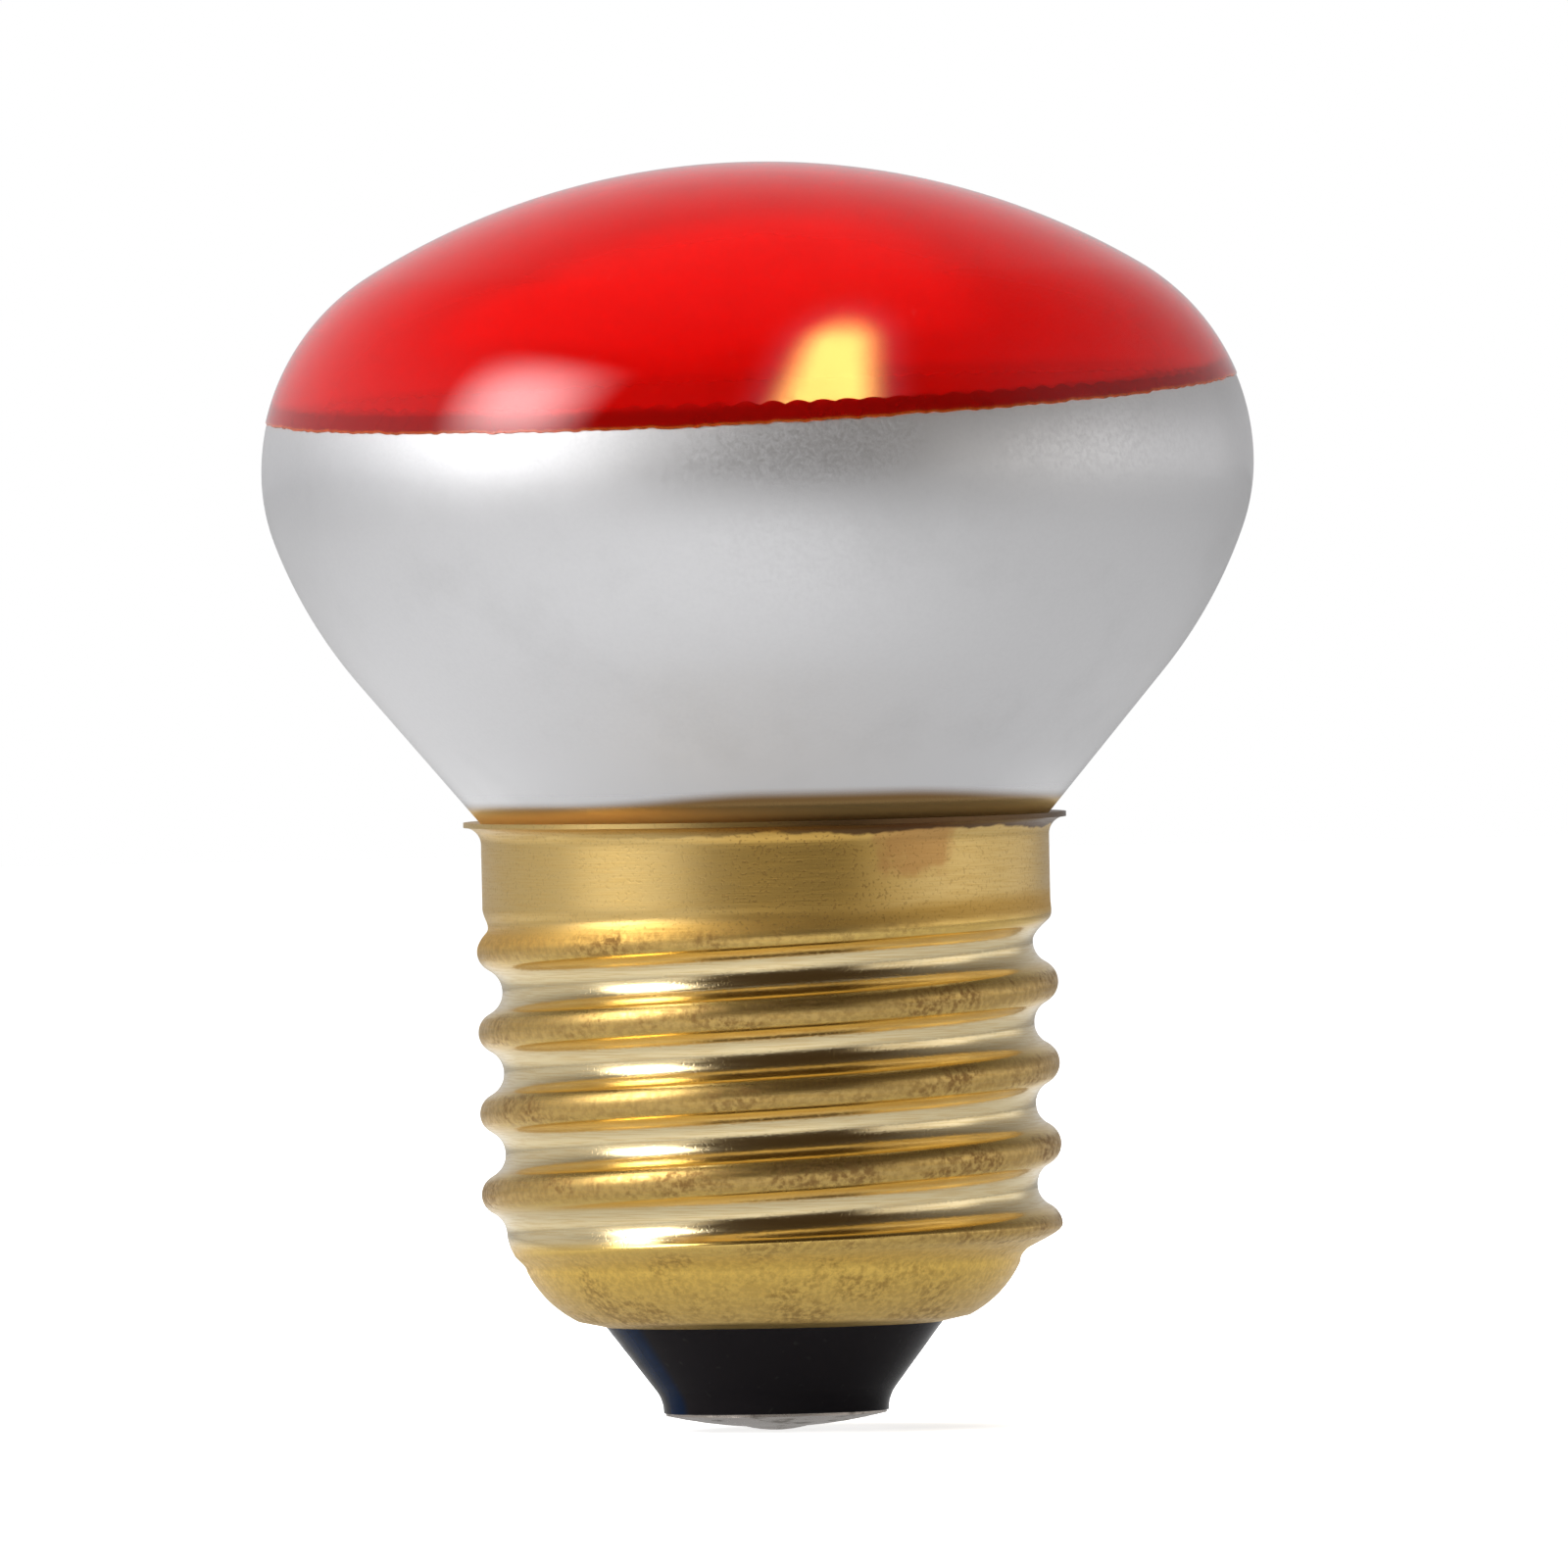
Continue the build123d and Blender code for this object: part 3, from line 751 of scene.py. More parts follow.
@dataclass
class GlassBulb:
    """The blown glass: silvered bowl and red window, which meet along the lacquer's uneven edge."""

    bulb_radius: float = 22.217
    crown_radius: float = 33.3
    shoulder_radius: float = 10.3
    hip_radius: float = 8.8
    flank_radius: float = 21.4
    hip_angle: float = 20.0
    cone_angle: float = 40.0
    neck_radius: float = 11.0
    neck_bend: float = 5.0
    neck_height: float = 23.518
    seal_height: float = 14.498
    equator_height: float = 43.1
    wall: float = 0.7
    coat: float = 0.06
    film: float = 0.03
    film_gap: float = 0.02
    edge_gap: float = 0.012
    lacquer_edge: Triple = (46.26, 0.70, 1.04)
    mirror_edge: Triple = (46.92, 0.45, 0.65)
    scallops: int = 112
    scallop_height: float = 0.12
    scallop_swells: int = 9
    scallop_swell: float = 0.3
    scallop_drifts: int = 13
    scallop_drift: float = 0.4
    ragged_height: float = 0.035
    ragged_waves: tuple[int, ...] = (7, 19, 31, 47, 68, 97, 131, 173, 227)
    ragged_weights: Range = (0.4, 1.0)
    seed: int = 14
    turns: int = 720
    calm_angle: float = 32.0
    crown_rows: int = 30
    shoulder_rows: int = 14
    hip_rows: int = 10
    flank_rows: int = 16
    cone_rows: int = 6
    neck_rows: int = 12
    window_rows: int = 16
    row_crowding: float = 1.8
    edge_band: float = 1.0
    bowl_rows: int = 14
    haze_band: float = 2.5
    sharp_angle: float = 40.0

    def __post_init__(self) -> None:
        """Works out the outline's centres and the two uneven edges."""
        self.shoulder_offset = self.bulb_radius - self.shoulder_radius
        rise = math.sqrt((self.crown_radius - self.shoulder_radius) ** 2 - self.shoulder_offset**2)
        self.crown_centre = self.equator_height - rise
        self.join_angle = 90 - math.degrees(math.atan2(self.shoulder_offset, rise))
        angles = np.arange(self.turns) * FULL_TURN / self.turns
        draw = random.Random(self.seed)
        ragged = np.zeros(self.turns)
        for waves in self.ragged_waves:
            weight = draw.uniform(*self.ragged_weights)
            ragged += weight * np.sin(waves * angles + draw.uniform(0, FULL_TURN))
        ragged *= self.ragged_height / 2
        swell = self.scallop_swell * np.sin(self.scallop_swells * angles + draw.uniform(0, FULL_TURN))
        swell += 1 - self.scallop_swell
        drift = self.scallop_drift * np.sin(self.scallop_drifts * angles)
        humps = np.abs(np.sin(self.scallops / 2 * angles + drift))
        scallop = self.scallop_height * swell * (2 * humps - 1)
        self.lacquer_angles = self.shoulder_angle(self.sloped(self.lacquer_edge, angles) + ragged)
        self.mirror_angles = self.shoulder_angle(self.sloped(self.mirror_edge, angles) + scallop)

    @staticmethod
    def sloped(edge: Triple, angles: np.ndarray) -> np.ndarray:
        """Heights of a ring with a mean height, a rise to +X and a rise to +Y."""
        mean, side, back = edge
        return mean + side * np.cos(angles) + back * np.sin(angles)

    def shoulder_angle(self, heights: np.ndarray) -> np.ndarray:
        """Angle on the shoulder's arc, in degrees, at each height."""
        return np.degrees(np.arcsin((heights - self.equator_height) / self.shoulder_radius))

    def shoulder(self, angles: np.ndarray, inset: float) -> np.ndarray:
        """Radius and height at angles on the shoulder's arc, in degrees, set in from the outside."""
        turn = np.radians(angles)
        radius = self.shoulder_radius - inset
        points = (self.shoulder_offset + radius * np.cos(turn), self.equator_height + radius * np.sin(turn))
        return np.stack(points, axis=-1)

    def dome(self, inset: float) -> list[Point]:
        """Outline from the crown down to the calm part of the shoulder, set in from the outside."""
        rows = self.shoulder_rows
        crown = arc((0, self.crown_centre), self.crown_radius - inset, 90, self.join_angle, self.crown_rows)
        start = (self.shoulder_offset, self.equator_height)
        return crown + arc(start, self.shoulder_radius - inset, self.join_angle, self.calm_angle, rows)

    def dome_radius(self, height: float, inset: float) -> float:
        """Radius of the dome at a height above the equator, set in from the outside."""
        crown = self.crown_radius - inset
        if height > self.crown_centre + crown * math.sin(math.radians(self.join_angle)):
            return math.sqrt(crown**2 - (height - self.crown_centre) ** 2)
        shoulder = self.shoulder_radius - inset
        return self.shoulder_offset + math.sqrt(shoulder**2 - (height - self.equator_height) ** 2)

    def bowl(self, inset: float) -> list[Point]:
        """Outline from the equator down to the seal, set in from the outside."""
        hip_offset = self.bulb_radius - self.hip_radius
        turn = math.radians(self.hip_angle)
        spread = self.hip_radius - self.flank_radius
        flank = (hip_offset + spread * math.cos(turn), self.equator_height - spread * math.sin(turn))
        bend = (self.neck_radius + self.neck_bend, self.neck_height)
        hip = (hip_offset, self.equator_height)
        inside = self.neck_radius - inset
        reach = self.flank_radius - inset
        points = arc(hip, self.hip_radius - inset, 0, -self.hip_angle, self.hip_rows)
        points += arc(flank, reach, -self.hip_angle, -self.cone_angle, self.flank_rows)
        top = arc(flank, reach, -self.cone_angle, -self.cone_angle, 1)[0]
        foot = arc(bend, self.neck_bend + inset, 180 - self.cone_angle, 180, self.neck_rows)
        points += line(top, foot[0], self.cone_rows)
        return points + foot + [(inside, self.neck_height), (inside, self.seal_height)]

    def ring(self, outline: list[Point]) -> np.ndarray:
        """Repeats one outline round the axis."""
        return np.broadcast_to(np.array(outline), (self.turns, len(outline), 2))

    def build_window(self, material: Material) -> Object:
        """Makes the red dome as a closed wall of glass and lacquer, in its finish."""
        shares = 1 - (1 - np.linspace(0, 1, self.window_rows)) ** self.row_crowding
        angles = self.calm_angle + (self.lacquer_angles[:, None] - self.calm_angle) * shares
        outer, inner = (
            np.concatenate([self.ring(self.dome(inset)), self.shoulder(angles, inset)], axis=1)
            for inset in (-self.coat, self.wall)
        )
        mesh = lathe_mesh("red_window", np.concatenate([outer, inner[:, ::-1]], axis=1), poles=True)
        reach = np.radians(np.abs(angles - angles[:, -1:])) * self.shoulder_radius
        near = np.clip(1 - reach / self.edge_band, 0, 1)
        far = np.zeros((self.turns, len(self.dome(0))))
        values = np.concatenate([far, near, near[:, ::-1], far], axis=1)[:, 1:-1].ravel()
        store_values(mesh, "edge", np.concatenate([values, np.zeros(2)]))
        mesh.materials.append(material)
        face_outwards(mesh, self.sharp_angle)
        return place_piece("red_window", mesh, Slot.RED, "red_lacquer")

    def build_bowl(self, *materials: Material) -> Object:
        """Makes the silvered lower glass, with the film's upper strip standing up behind the red window.

        Args:
            materials: Finishes of the glass seen from outside, of the film's strip and of its inner side.

        Returns:
            The piece.
        """
        steps = self.bowl_rows
        shares = np.linspace(0, 1, steps)
        edge = self.lacquer_angles - math.degrees(self.edge_gap / self.shoulder_radius)
        film_out = self.wall + self.film_gap
        film_in = film_out + self.film
        outer = self.ring(self.bowl(0))[:, ::-1]
        rise = self.shoulder(edge[:, None] * shares, 0)
        strip = self.shoulder(edge[:, None] + (self.mirror_angles - edge)[:, None] * shares, film_out)
        back = self.shoulder(self.mirror_angles[:, None] * shares[::-1], film_in)
        inner = self.ring(self.bowl(film_in))
        rows = np.concatenate([outer[:, :-1], rise, strip, back[:, :-1], inner], axis=1)
        mesh = lathe_mesh("silvered_bowl", rows, poles=False)
        outer_rows = outer.shape[1] - 1 + steps
        count = rows.shape[1]
        reach = np.radians(edge[:, None] * (1 - shares)) * self.shoulder_radius
        values = np.zeros((self.turns, count))
        values[:, outer_rows - steps : outer_rows] = np.clip(1 - reach / self.haze_band, 0, 1)
        store_values(mesh, "edge", values.ravel())
        for material in materials:
            mesh.materials.append(material)
        places = np.tile(np.arange(count), self.turns)
        sides = (places >= outer_rows).astype(np.int32) + (places >= outer_rows + steps)
        mesh.polygons.foreach_set("material_index", sides.astype(np.int32))
        face_outwards(mesh, self.sharp_angle)
        return place_piece("silvered_bowl", mesh, Slot.SILVER, "glass_envelope")


@dataclass
class ScrewShell:
    """The brass screw shell: one sheet with a flared rim, a collar, a rolled thread and a bowl."""

    sheet: float = 0.22
    crest_radius: float = 13.0
    thread_depth: float = 1.1
    crest_share: float = 0.46
    pitch: float = 3.629
    thread_bottom: float = 7.3
    thread_top: float = 23.6
    crest_height: float = 8.95
    collar_runout: float = 1.9
    bowl_runout: float = 1.7
    collar_radius: float = 12.72
    flange_width: float = 0.78
    rim_height: float = 27.45
    bowl_radius: float = 11.05
    bowl_bend: float = 5.0
    lip_slope: float = 12.0
    lip_length: float = 1.25
    eyelet_radius: float = 7.55
    eyelet_height: float = 4.74
    turns: int = 200
    flare_rows: int = 12
    collar_rows: int = 10
    thread_rows: int = 170
    bowl_rows: int = 16
    lip_rows: int = 4
    weld: float = 0.001
    sharp_angle: float = 50.0

    def side(self, inset: float) -> list[Point]:
        """Outline of one side of the sheet from the rim to the hole, before the thread is rolled into it.

        Args:
            inset: Distance in from the outside of the sheet.

        Returns:
            Radius and height of its points.
        """
        flange_radius = self.collar_radius + self.flange_width
        flare_height = self.rim_height - self.flange_width - self.sheet
        collar = self.collar_radius - inset
        flange = (flange_radius, flare_height)
        points = arc(flange, self.flange_width + inset, 90, 180, self.flare_rows)
        points += line((collar, flare_height), (collar, self.thread_top), self.collar_rows)
        middle = self.crest_radius - self.thread_depth / 2
        for z in np.linspace(self.thread_top, self.thread_bottom, self.thread_rows, endpoint=False):
            into_bowl = self.ease((z - self.thread_bottom) / self.bowl_runout)
            into_collar = self.ease((self.thread_top - z) / self.collar_runout)
            radius = self.bowl_radius + (middle - self.bowl_radius) * into_bowl
            radius = self.collar_radius + (radius - self.collar_radius) * into_collar
            points.append((radius - inset, z))
        slope = math.radians(self.lip_slope)
        lip = (
            self.eyelet_radius + self.lip_length * math.cos(slope) - inset * math.sin(slope),
            self.eyelet_height + self.lip_length * math.sin(slope) + inset * math.cos(slope),
        )
        start = (self.bowl_radius - inset, self.thread_bottom)
        hole = (self.eyelet_radius, self.eyelet_height + inset / math.cos(slope))
        points += self.bulge(start, lip, self.bowl_bend - inset, self.bowl_rows)
        return points + line(lip, hole, self.lip_rows, whole=True)

    @staticmethod
    def ease(share: float) -> float:
        """Smooth step from 0 to 1."""
        held = min(max(share, 0.0), 1.0)
        return held * held * (3 - 2 * held)

    @staticmethod
    def bulge(start: Point, end: Point, radius: float, steps: int) -> list[Point]:
        """Arc that swells outwards and down between two points.

        Args:
            start: Upper point.
            end: Lower point, nearer the axis.
            radius: Radius of the arc.
            steps: Number of points, without the last.

        Returns:
            The points.
        """
        first, last = Vector(start), Vector(end)
        chord = last - first
        square = Vector((chord.y, -chord.x)).normalized()
        centre = (first + last) / 2 + square * math.sqrt(radius**2 - (chord.length / 2) ** 2)
        begin, finish = (
            math.degrees(math.atan2(point.y - centre.y, point.x - centre.x)) for point in (first, last)
        )
        return arc(tuple(centre), radius, begin, finish, steps)

    def thread_sizes(self, material: Material) -> Feeds:
        """Inputs of the thread's tree, in metres."""
        flank = 2 * math.atan(2 * self.thread_depth / self.pitch)
        bends = self.pitch / (2 * math.sin(flank))
        lengths = {
            "Half Depth": self.thread_depth / 2,
            "Crest Bend": self.crest_share * bends,
            "Root Bend": (1 - self.crest_share) * bends,
            "Crest Reach": self.crest_share * self.pitch / 2,
            "Pitch": self.pitch,
            "Crest Height": self.crest_height,
            "Bottom": self.thread_bottom,
            "Top": self.thread_top,
            "Bowl Runout": self.bowl_runout,
            "Collar Runout": self.collar_runout,
        }
        metres = {name: length * MM for name, length in lengths.items()}
        return {"Turns": self.turns, **metres, "Brass": material}

    def thread_tree(self, sizes: Feeds) -> bpy.types.GeometryNodeTree:
        """Builds the tree that turns the sheet's outline round the axis and rolls the thread into it.

        Args:
            sizes: Its inputs.

        Returns:
            The tree.
        """
        wires, take = open_tree("rolled_thread", sizes)
        outline = take["Geometry"]
        rows = wires.node("GeometryNodeAttributeDomainSize", {"Geometry": outline}).outputs["Point Count"]
        counts = {"Vertices X": wires.plus(take["Turns"], 1), "Vertices Y": wires.plus(rows, 1)}
        grid = wires.node("GeometryNodeMeshGrid", counts)
        share = wires.axes(grid.outputs["UV Map"])
        row = wires.math("MODULO", wires.math("ROUND", wires.times(share["Y"], rows)), rows)
        place = wires.node("GeometryNodeInputPosition").outputs["Position"]
        feeds = {"Geometry": outline, "Value": place, "Index": row}
        sample = wires.node("GeometryNodeSampleIndex", feeds, data_type="FLOAT_VECTOR")
        point = wires.axes(sample.outputs["Value"])
        height = point["Z"]
        angle = wires.times(share["X"], FULL_TURN)

        # Height of the wave above the sheet's middle, which fades into the bowl and the collar
        into_bowl = wires.span(height, take["Bottom"], wires.plus(take["Bottom"], take["Bowl Runout"]))
        top_start = wires.minus(take["Top"], take["Collar Runout"])
        into_collar = wires.span(height, top_start, take["Top"], 1.0, 0.0)
        climb = wires.math("DIVIDE", wires.minus(height, take["Crest Height"]), take["Pitch"])
        turn = wires.minus(wires.times(climb, FULL_TURN), angle)
        away = wires.math("ABSOLUTE", wires.math("WRAP", turn, math.pi, -math.pi))
        off_crest = wires.times(wires.math("DIVIDE", away, FULL_TURN), take["Pitch"])
        off_root = wires.minus(wires.times(take["Pitch"], 0.5), off_crest)
        crest = wires.plus(self.sagged(wires, take["Crest Bend"], off_crest), take["Half Depth"])
        root = wires.plus(self.sagged(wires, take["Root Bend"], off_root), take["Half Depth"])
        on_crest = wires.math("LESS_THAN", off_crest, take["Crest Reach"])
        on_root = wires.minus(on_crest, 1.0)
        rise = wires.plus(wires.times(crest, on_crest), wires.times(root, on_root))
        rise = wires.times(rise, wires.math("MINIMUM", into_bowl, into_collar))

        radius = wires.plus(point["X"], rise)
        x = wires.times(radius, wires.math("COSINE", angle))
        y = wires.times(radius, wires.math("SINE", angle))
        feeds = {"Geometry": grid.outputs["Mesh"], "Position": wires.combined(x, y, height)}
        shape = wires.node("GeometryNodeSetPosition", feeds).outputs["Geometry"]
        wave = wires.math("DIVIDE", rise, take["Half Depth"])
        feeds = {"Geometry": shape, "Name": "crest", "Value": wave}
        kept = wires.node("GeometryNodeStoreNamedAttribute", feeds, data_type="FLOAT")
        feeds = {"Geometry": kept.outputs["Geometry"], "Distance": self.weld * MM}
        joined = wires.node("GeometryNodeMergeByDistance", feeds)
        close_tree(wires, joined.outputs["Geometry"], take["Brass"])
        return wires.tree

    @staticmethod
    def sagged(wires: Wiring, bend: Feed, off: Feed) -> Socket:
        """Drop of an arc, as a value below zero, by its bend radius and the distance off its top."""
        square = wires.minus(wires.times(bend, bend), wires.times(off, off))
        return wires.minus(wires.math("SQRT", wires.math("MAXIMUM", square, 0.0)), bend)

    def build(self, material: Material) -> Object:
        """Makes the shell in its finish."""
        outline = self.side(0) + self.side(self.sheet)[::-1]
        seed = bpy.data.meshes.new("sheet_outline")
        seed.from_pydata([(r * MM, 0, z * MM) for r, z in outline], [], [])
        sizes = self.thread_sizes(material)
        mesh = grown_mesh(seed, self.thread_tree(sizes), sizes)
        face_outwards(mesh, self.sharp_angle)
        return place_piece("rolled_screw_shell", mesh, Slot.BRASS, "screw_shell")


@dataclass
class Filament:
    """The coiled filament between its two posts."""

    height: float = 40.498
    length: float = 12.5
    diameter: float = 0.6
    wire: float = 0.07
    coil_turns: float = 80.0
    sag: float = 0.05
    steps: int = 1280
    wire_sides: int = 6
    sharp_angle: float = 60.0

    def coil_sizes(self, material: Material) -> Feeds:
        """Inputs of the coil's tree, in metres."""
        return {
            "Coil Turns": self.coil_turns,
            "Coil Radius": (self.diameter - self.wire) / 2 * MM,
            "Wire Radius": self.wire / 2 * MM,
            "Length": (self.length - self.wire) * MM,
            "Height": self.height * MM,
            "Sag": self.sag * MM,
            "Tungsten": material,
        }

    def coil_tree(self, sizes: Feeds) -> bpy.types.GeometryNodeTree:
        """Builds the tree that winds the wire along Y.

        Args:
            sizes: Its inputs.

        Returns:
            The tree.
        """
        wires, take = open_tree("filament_coil", sizes)
        straight = wires.node("GeometryNodeCurvePrimitiveLine", {"End": (0.0, 0.0, 1.0)}).outputs["Curve"]
        fine = wires.node("GeometryNodeResampleCurve", {"Curve": straight, "Count": self.steps})
        share = wires.node("GeometryNodeSplineParameter").outputs["Factor"]
        angle = wires.times(share, take["Coil Turns"], FULL_TURN)
        along = wires.times(wires.minus(share, 0.5), take["Length"])
        droop = wires.times(wires.math("SINE", wires.times(share, FULL_TURN)), take["Sag"])
        lift = wires.times(wires.math("SINE", angle), take["Coil Radius"])
        x = wires.times(wires.math("COSINE", angle), take["Coil Radius"])
        z = wires.minus(wires.plus(take["Height"], lift), wires.math("ABSOLUTE", droop))
        feeds = {"Geometry": fine.outputs["Curve"], "Position": wires.combined(x, along, z)}
        coil = wires.node("GeometryNodeSetPosition", feeds).outputs["Geometry"]
        feeds = {"Resolution": self.wire_sides, "Radius": take["Wire Radius"]}
        section = wires.node("GeometryNodeCurvePrimitiveCircle", feeds).outputs["Curve"]
        feeds = {"Curve": coil, "Profile Curve": section, "Fill Caps": True}
        tube = wires.node("GeometryNodeCurveToMesh", feeds)
        close_tree(wires, tube.outputs["Mesh"], take["Tungsten"])
        return wires.tree

    def build(self, material: Material) -> Object:
        """Makes the coil in its finish."""
        seed = bpy.data.meshes.new("coil_seed")
        sizes = self.coil_sizes(material)
        mesh = grown_mesh(seed, self.coil_tree(sizes), sizes)
        face_outwards(mesh, self.sharp_angle)
        return place_piece("filament_coil", mesh, Slot.TUNGSTEN, "filament")


@dataclass
class Fittings:
    """The pieces whose solids stay in view as they are, with their metals."""

    tin: DullMetal = DullMetal("tin", (0.48, 0.43, 0.385), (0.25, 0.22, 0.19), (0.26, 0.5))
    nickel: DullMetal = DullMetal("nickel", (0.66, 0.64, 0.60), (0.52, 0.50, 0.46), (0.18, 0.3))
    copper: DullMetal = DullMetal("copper", (0.80, 0.48, 0.32), (0.45, 0.24, 0.14), (0.2, 0.4))

    def dress(self, tungsten: Material) -> None:
        """Gives each solid its finish; the filament's support shares the filament's tungsten."""
        finishes = (
            (self.tin.material(), ("centre_contact", "tip_solder", "side_solder")),
            (self.nickel.material(), ("centre_post", "side_post")),
            (self.copper.material(), ("centre_lead", "side_lead")),
            (tungsten, ("filament_support",)),
            (BlackGlass().material(), ("insulator",)),
            (ClearGlass().material(), ("stem",)),
            (BakedCement().material(), ("basing_cement",)),
        )
        for material, nodes in finishes:
            for node in nodes:
                dress_node(node, material)


@dataclass(frozen=True)
class SoftCard:
    """One studio light: a glowing card with soft edges, set by the direction that it shines from."""

    name: str
    leftward: float
    upward: float
    width: float
    height: float
    radiance: float
    tint: Colour = (1.0, 1.0, 1.0)
    feather: float = 0.4
    distance: float = 550.0
    mirrored: bool = True

    def material(self) -> Material:
        """Builds the card's glow, which fades towards its edges."""
        material, wires = open_material(self.name)
        place = wires.axes(wires.coords())
        fade = self.radiance
        for axis, size in (("X", self.width), ("Y", self.height)):
            share = wires.math("DIVIDE", wires.math("ABSOLUTE", place[axis]), size / 2 * MM)
            fade = wires.times(fade, wires.span(share, 1.0 - self.feather, 1.0, 1.0, 0.0))
        clear = wires.node("ShaderNodeBsdfTransparent").outputs["BSDF"]
        wires.node("ShaderNodeOutputMaterial", {"Surface": wires.add_glow(clear, self.tint, fade)})
        return material

    def place(self, target: Vector) -> None:
        """Sets the card up, facing a point on the lamp."""
        side, rise = math.radians(self.leftward), math.radians(self.upward)
        level = math.cos(rise)
        away = Vector((-math.sin(side) * level, -math.cos(side) * level, math.sin(rise)))
        half_width, half_height = self.width / 2 * MM, self.height / 2 * MM
        signs = ((1, 1), (1, -1), (-1, -1), (-1, 1))
        mesh = bpy.data.meshes.new(self.name)
        mesh.from_pydata([(x * half_width, y * half_height, 0) for x, y in signs], [], [(0, 1, 2, 3)])
        mesh.materials.append(self.material())
        card = link_object(self.name, mesh)
        turn = away.to_track_quat("Z", "Y").to_matrix().to_4x4()
        card.matrix_world = Matrix.Translation(target + away * self.distance * MM) @ turn
        card.visible_camera = False
        card.visible_shadow = False
        card.visible_glossy = self.mirrored


@dataclass(frozen=True)
class Glint:
    """Painted glint: a glowing card on the back of the bulb's inside that stands in for light the reflector
    gathers there, with a soft halo.
    """

    left: float = 2.0
    right: float = 4.2
    foot: float = 45.8
    top: float = 48.9
    lean: float = 0.45
    inset: float = 1.1
    columns: int = 32
    rows: int = 24
    soft: float = 2.6
    spread: float = 4.2
    core_radiance: float = 400.0
    core_tint: Colour = (0.009, 1.0, 0.17)
    halo_radiance: float = 50.0
    halo_tint: Colour = (0.0, 0.75, 1.0)

    def material(self) -> Material:
        """Builds the glow: upright on its right, sloping on its left, round at its top, one-sided."""
        material, wires = open_material("glint")
        place = wires.axes(wires.coords())
        rise = wires.minus(place["Z"], self.foot * MM)
        slope = wires.plus(wires.times(rise, self.lean), self.left * MM)
        beside = wires.math("MAXIMUM", wires.minus(slope, place["X"]), 0.0)
        beside = wires.math("MAXIMUM", beside, wires.minus(place["X"], self.right * MM))
        above = wires.math("MAXIMUM", wires.minus(place["Z"], self.top * MM), 0.0)
        outside = wires.math("SQRT", wires.plus(wires.times(beside, beside), wires.times(above, above)))
        front = wires.minus(1.0, wires.node("ShaderNodeNewGeometry").outputs["Backfacing"])
        light = wires.node("ShaderNodeBsdfTransparent").outputs["BSDF"]
        parts = (
            (self.soft, self.core_radiance, self.core_tint),
            (self.spread, self.halo_radiance, self.halo_tint),
        )
        for reach, radiance, tint in parts:
            shape = wires.math("POWER", wires.span_mm(outside, 0.0, reach, 1.0, 0.0), 2.0)
            light = wires.add_glow(light, tint, wires.times(shape, radiance, front))
        wires.node("ShaderNodeOutputMaterial", {"Surface": light})
        return material

    def place(self, bulb: GlassBulb) -> None:
        """Lays the glow along the back of a bulb's inside, facing inwards."""
        corners = []
        for z in np.linspace(self.foot, self.top + self.spread, self.rows):
            reach = bulb.dome_radius(z, self.inset)
            for x in np.linspace(self.left - self.spread, self.right + self.spread, self.columns):
                corners.append((x * MM, math.sqrt(reach**2 - x**2) * MM, z * MM))
        faces = []
        for row in range(self.rows - 1):
            for column in range(self.columns - 1):
                here = row * self.columns + column
                faces.append((here, here + 1, here + 1 + self.columns, here + self.columns))
        mesh = bpy.data.meshes.new("glint")
        mesh.from_pydata(corners, [], faces)
        mesh.materials.append(self.material())
        card = link_object("glint", mesh)
        card.visible_camera = False
        card.visible_diffuse = False
        card.visible_glossy = False
        card.visible_shadow = False


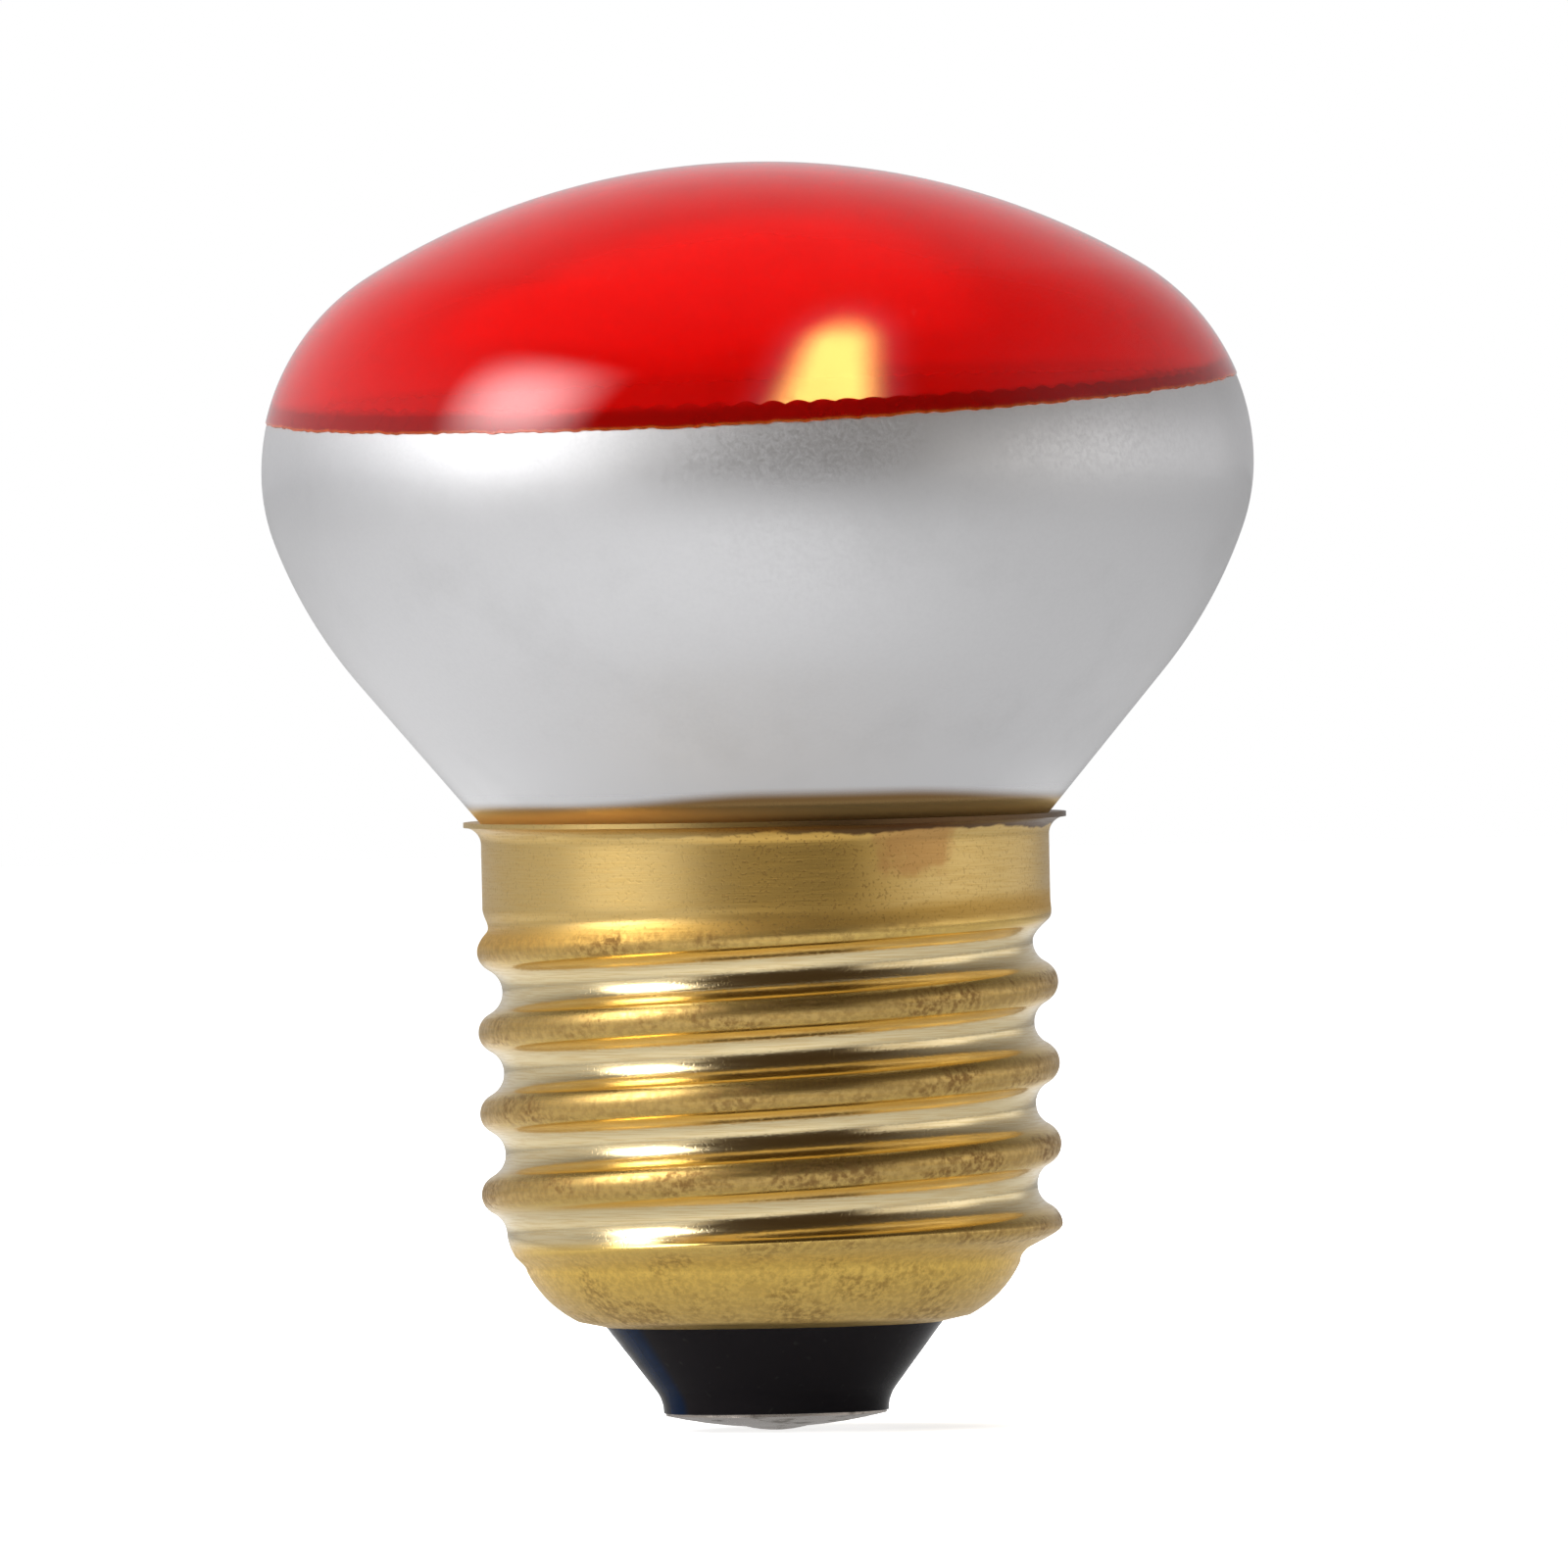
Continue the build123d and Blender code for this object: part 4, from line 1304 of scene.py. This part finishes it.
@dataclass
class Studio:
    """Camera, lamps, floor and surroundings."""

    camera_distance: float = 2000.0
    camera_height: float = 28.9
    camera_side: float = 0.9
    camera_roll: float = 1.15
    camera_rise: float = 0.9
    view_width: float = 70.2
    sensor: float = 36.0
    clip: Range = (10.0, 20000.0)
    target_height: float = 30.0
    floor_radius: float = 1500.0
    floor_sides: int = 96
    floor_white: Step = (20.0, 160.0, 0.75, 1.0)
    painted_pool_reach: tuple[Step, ...] = ((0.0, 60.0, 0.44, 0.82), (80.0, 200.0, 1.0, 0.6))
    painted_pool_sides: tuple[Step, ...] = ((-80.0, -10.0, 0.72, 0.96), (0.0, 60.0, 1.0, 0.6))
    room_right: Step = (0.0, 0.7, 1.0, 0.68)
    room_back: Range = (-0.6, 0.05)
    room_height: Step = (0.9, 0.15, 0.12, 1.0)
    paper: Colour = (0.8, 0.8, 0.8)
    mirrored_paper: Colour = (0.08, 0.08, 0.08)
    dark: Colour = (0.05, 0.033, 0.017)
    pale: Colour = (0.58, 0.58, 0.59)
    white: Colour = (1.0, 1.0, 1.0)
    lamps: tuple[SoftCard, ...] = (
        SoftCard("left_wash", 55.0, 0.0, 720.0, 520.0, 0.74, feather=0.6),
        SoftCard("left_key", 62.0, 31.0, 420.0, 460.0, 10.5, feather=0.95, distance=530.0),
        SoftCard("right_wash", -70.0, 2.0, 850.0, 520.0, 0.75, (1.0, 0.98, 0.95), feather=0.6),
        SoftCard("right_back", -118.0, -3.0, 600.0, 340.0, 0.5, feather=0.7),
        SoftCard("overhead_fill", 150.0, 80.0, 800.0, 800.0, 4.6, mirrored=False),
    )

    def build(self, bulb: GlassBulb) -> None:
        """Sets everything up around the lamp, with the painted glint inside its bulb."""
        Glint().place(bulb)
        target = Vector((0, 0, self.target_height * MM))
        for lamp in self.lamps:
            lamp.place(target)
        self.set_camera()
        self.lay_floor()
        self.paint_world()
        bpy.context.scene.view_settings.view_transform = "Standard"

    def set_camera(self) -> None:
        """Places the camera at the photograph's viewing angle."""
        data = bpy.data.cameras.new("camera")
        data.sensor_width = self.sensor
        data.lens = self.sensor * self.camera_distance / self.view_width
        data.clip_start, data.clip_end = (reach * MM for reach in self.clip)
        camera = link_object("camera", data)
        aim = Matrix.Translation(Vector((self.camera_side, 0, self.camera_height)) * MM)
        level = Matrix.Rotation(math.radians(90 - self.camera_rise), 4, "X")
        roll = Matrix.Rotation(-math.radians(self.camera_roll), 4, "Z")
        back = Matrix.Translation((0, 0, self.camera_distance * MM))
        camera.matrix_world = aim @ level @ back @ roll
        bpy.context.scene.camera = camera

    def floor_material(self) -> Material:
        """Builds the floor's white, with a painted pool of light and shade that only metal and glass mirror.
        """
        material, wires = open_material("floor_paper")
        place = wires.coords()
        reach = wires.distance(place, (0.0, 0.0, 0.0))
        across = wires.axes(place)["X"]
        path = wires.node("ShaderNodeLightPath").outputs
        seen = wires.times(path["Is Camera Ray"], wires.span_mm(reach, *self.floor_white))
        # Painted light and shade for reflections only: darker near the lamp, far out, to the far left and to
        # the right
        painted_floor_pool = [wires.span_mm(reach, *step) for step in self.painted_pool_reach]
        painted_floor_pool += [wires.span_mm(across, *step) for step in self.painted_pool_sides]
        lift = wires.plus(seen, wires.times(path["Is Glossy Ray"], wires.times(*painted_floor_pool)))
        tone = wires.blend(path["Is Glossy Ray"], self.paper, self.mirrored_paper)
        paper = wires.node("ShaderNodeBsdfDiffuse", {"Color": tone}).outputs["BSDF"]
        wires.node("ShaderNodeOutputMaterial", {"Surface": wires.add_glow(paper, self.white, lift)})
        return material

    def lay_floor(self) -> None:
        """Lays a white floor that keeps the shadow near the lamp and runs into white further out."""
        mesh = bpy.data.meshes.new("floor")
        work = bmesh.new()
        bmesh.ops.create_circle(work, cap_ends=True, segments=self.floor_sides, radius=self.floor_radius * MM)
        work.to_mesh(mesh)
        work.free()
        mesh.materials.append(self.floor_material())
        link_object("floor", mesh)

    def paint_world(self) -> None:
        """Makes the surroundings: white behind, and a dim room above and in front."""
        world = bpy.data.worlds.new("studio")
        world.use_nodes = True
        world.node_tree.nodes.clear()
        bpy.context.scene.world = world
        wires = Wiring(world.node_tree)
        along = wires.axes(wires.node("ShaderNodeTexCoord").outputs["Generated"])
        lit = wires.times(
            wires.span(along["Y"], *self.room_back),
            wires.span(along["X"], *self.room_right),
            wires.span(along["Z"], *self.room_height),
        )
        room = wires.blend(lit, self.dark, self.pale)
        path = wires.node("ShaderNodeLightPath").outputs
        bounced = wires.math("MINIMUM", wires.plus(path["Glossy Depth"], path["Diffuse Depth"]), 1.0)
        through = wires.math("MAXIMUM", path["Is Camera Ray"], path["Is Transmission Ray"])
        direct = wires.times(through, wires.minus(1.0, bounced))
        light = wires.node("ShaderNodeBackground", {"Color": wires.blend(direct, room, self.white)})
        wires.node("ShaderNodeOutputWorld", {"Surface": light.outputs["Background"]})


def main() -> None:
    """Builds the lamp's pieces and the studio."""
    logging.basicConfig(level=logging.INFO, format="%(message)s")
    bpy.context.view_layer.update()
    bulb = GlassBulb()
    bulb.build_window(RedGlass().material())
    # The strip's film is painted dark, as painted shade for the dark room that it mirrors behind the red
    # glass
    strip = MirrorFilm("film_strip_painted_dark", (0.24, 0.24, 0.25), (0.20, 0.20, 0.21), (0.26, 0.34))
    inner = MirrorFilm("film_inside", (0.93, 0.93, 0.94), (0.88, 0.88, 0.89), (0.45, 0.55), mirror=0.4)
    bulb.build_bowl(SilveredGlass().material(), strip.material(), inner.material())
    ScrewShell().build(Brass().material())
    tungsten = DullMetal("tungsten", (0.42, 0.42, 0.44), (0.3, 0.3, 0.32), (0.25, 0.4)).material()
    Filament().build(tungsten)
    Fittings().dress(tungsten)
    Studio().build(bulb)


if __name__ == "__main__":
    main()
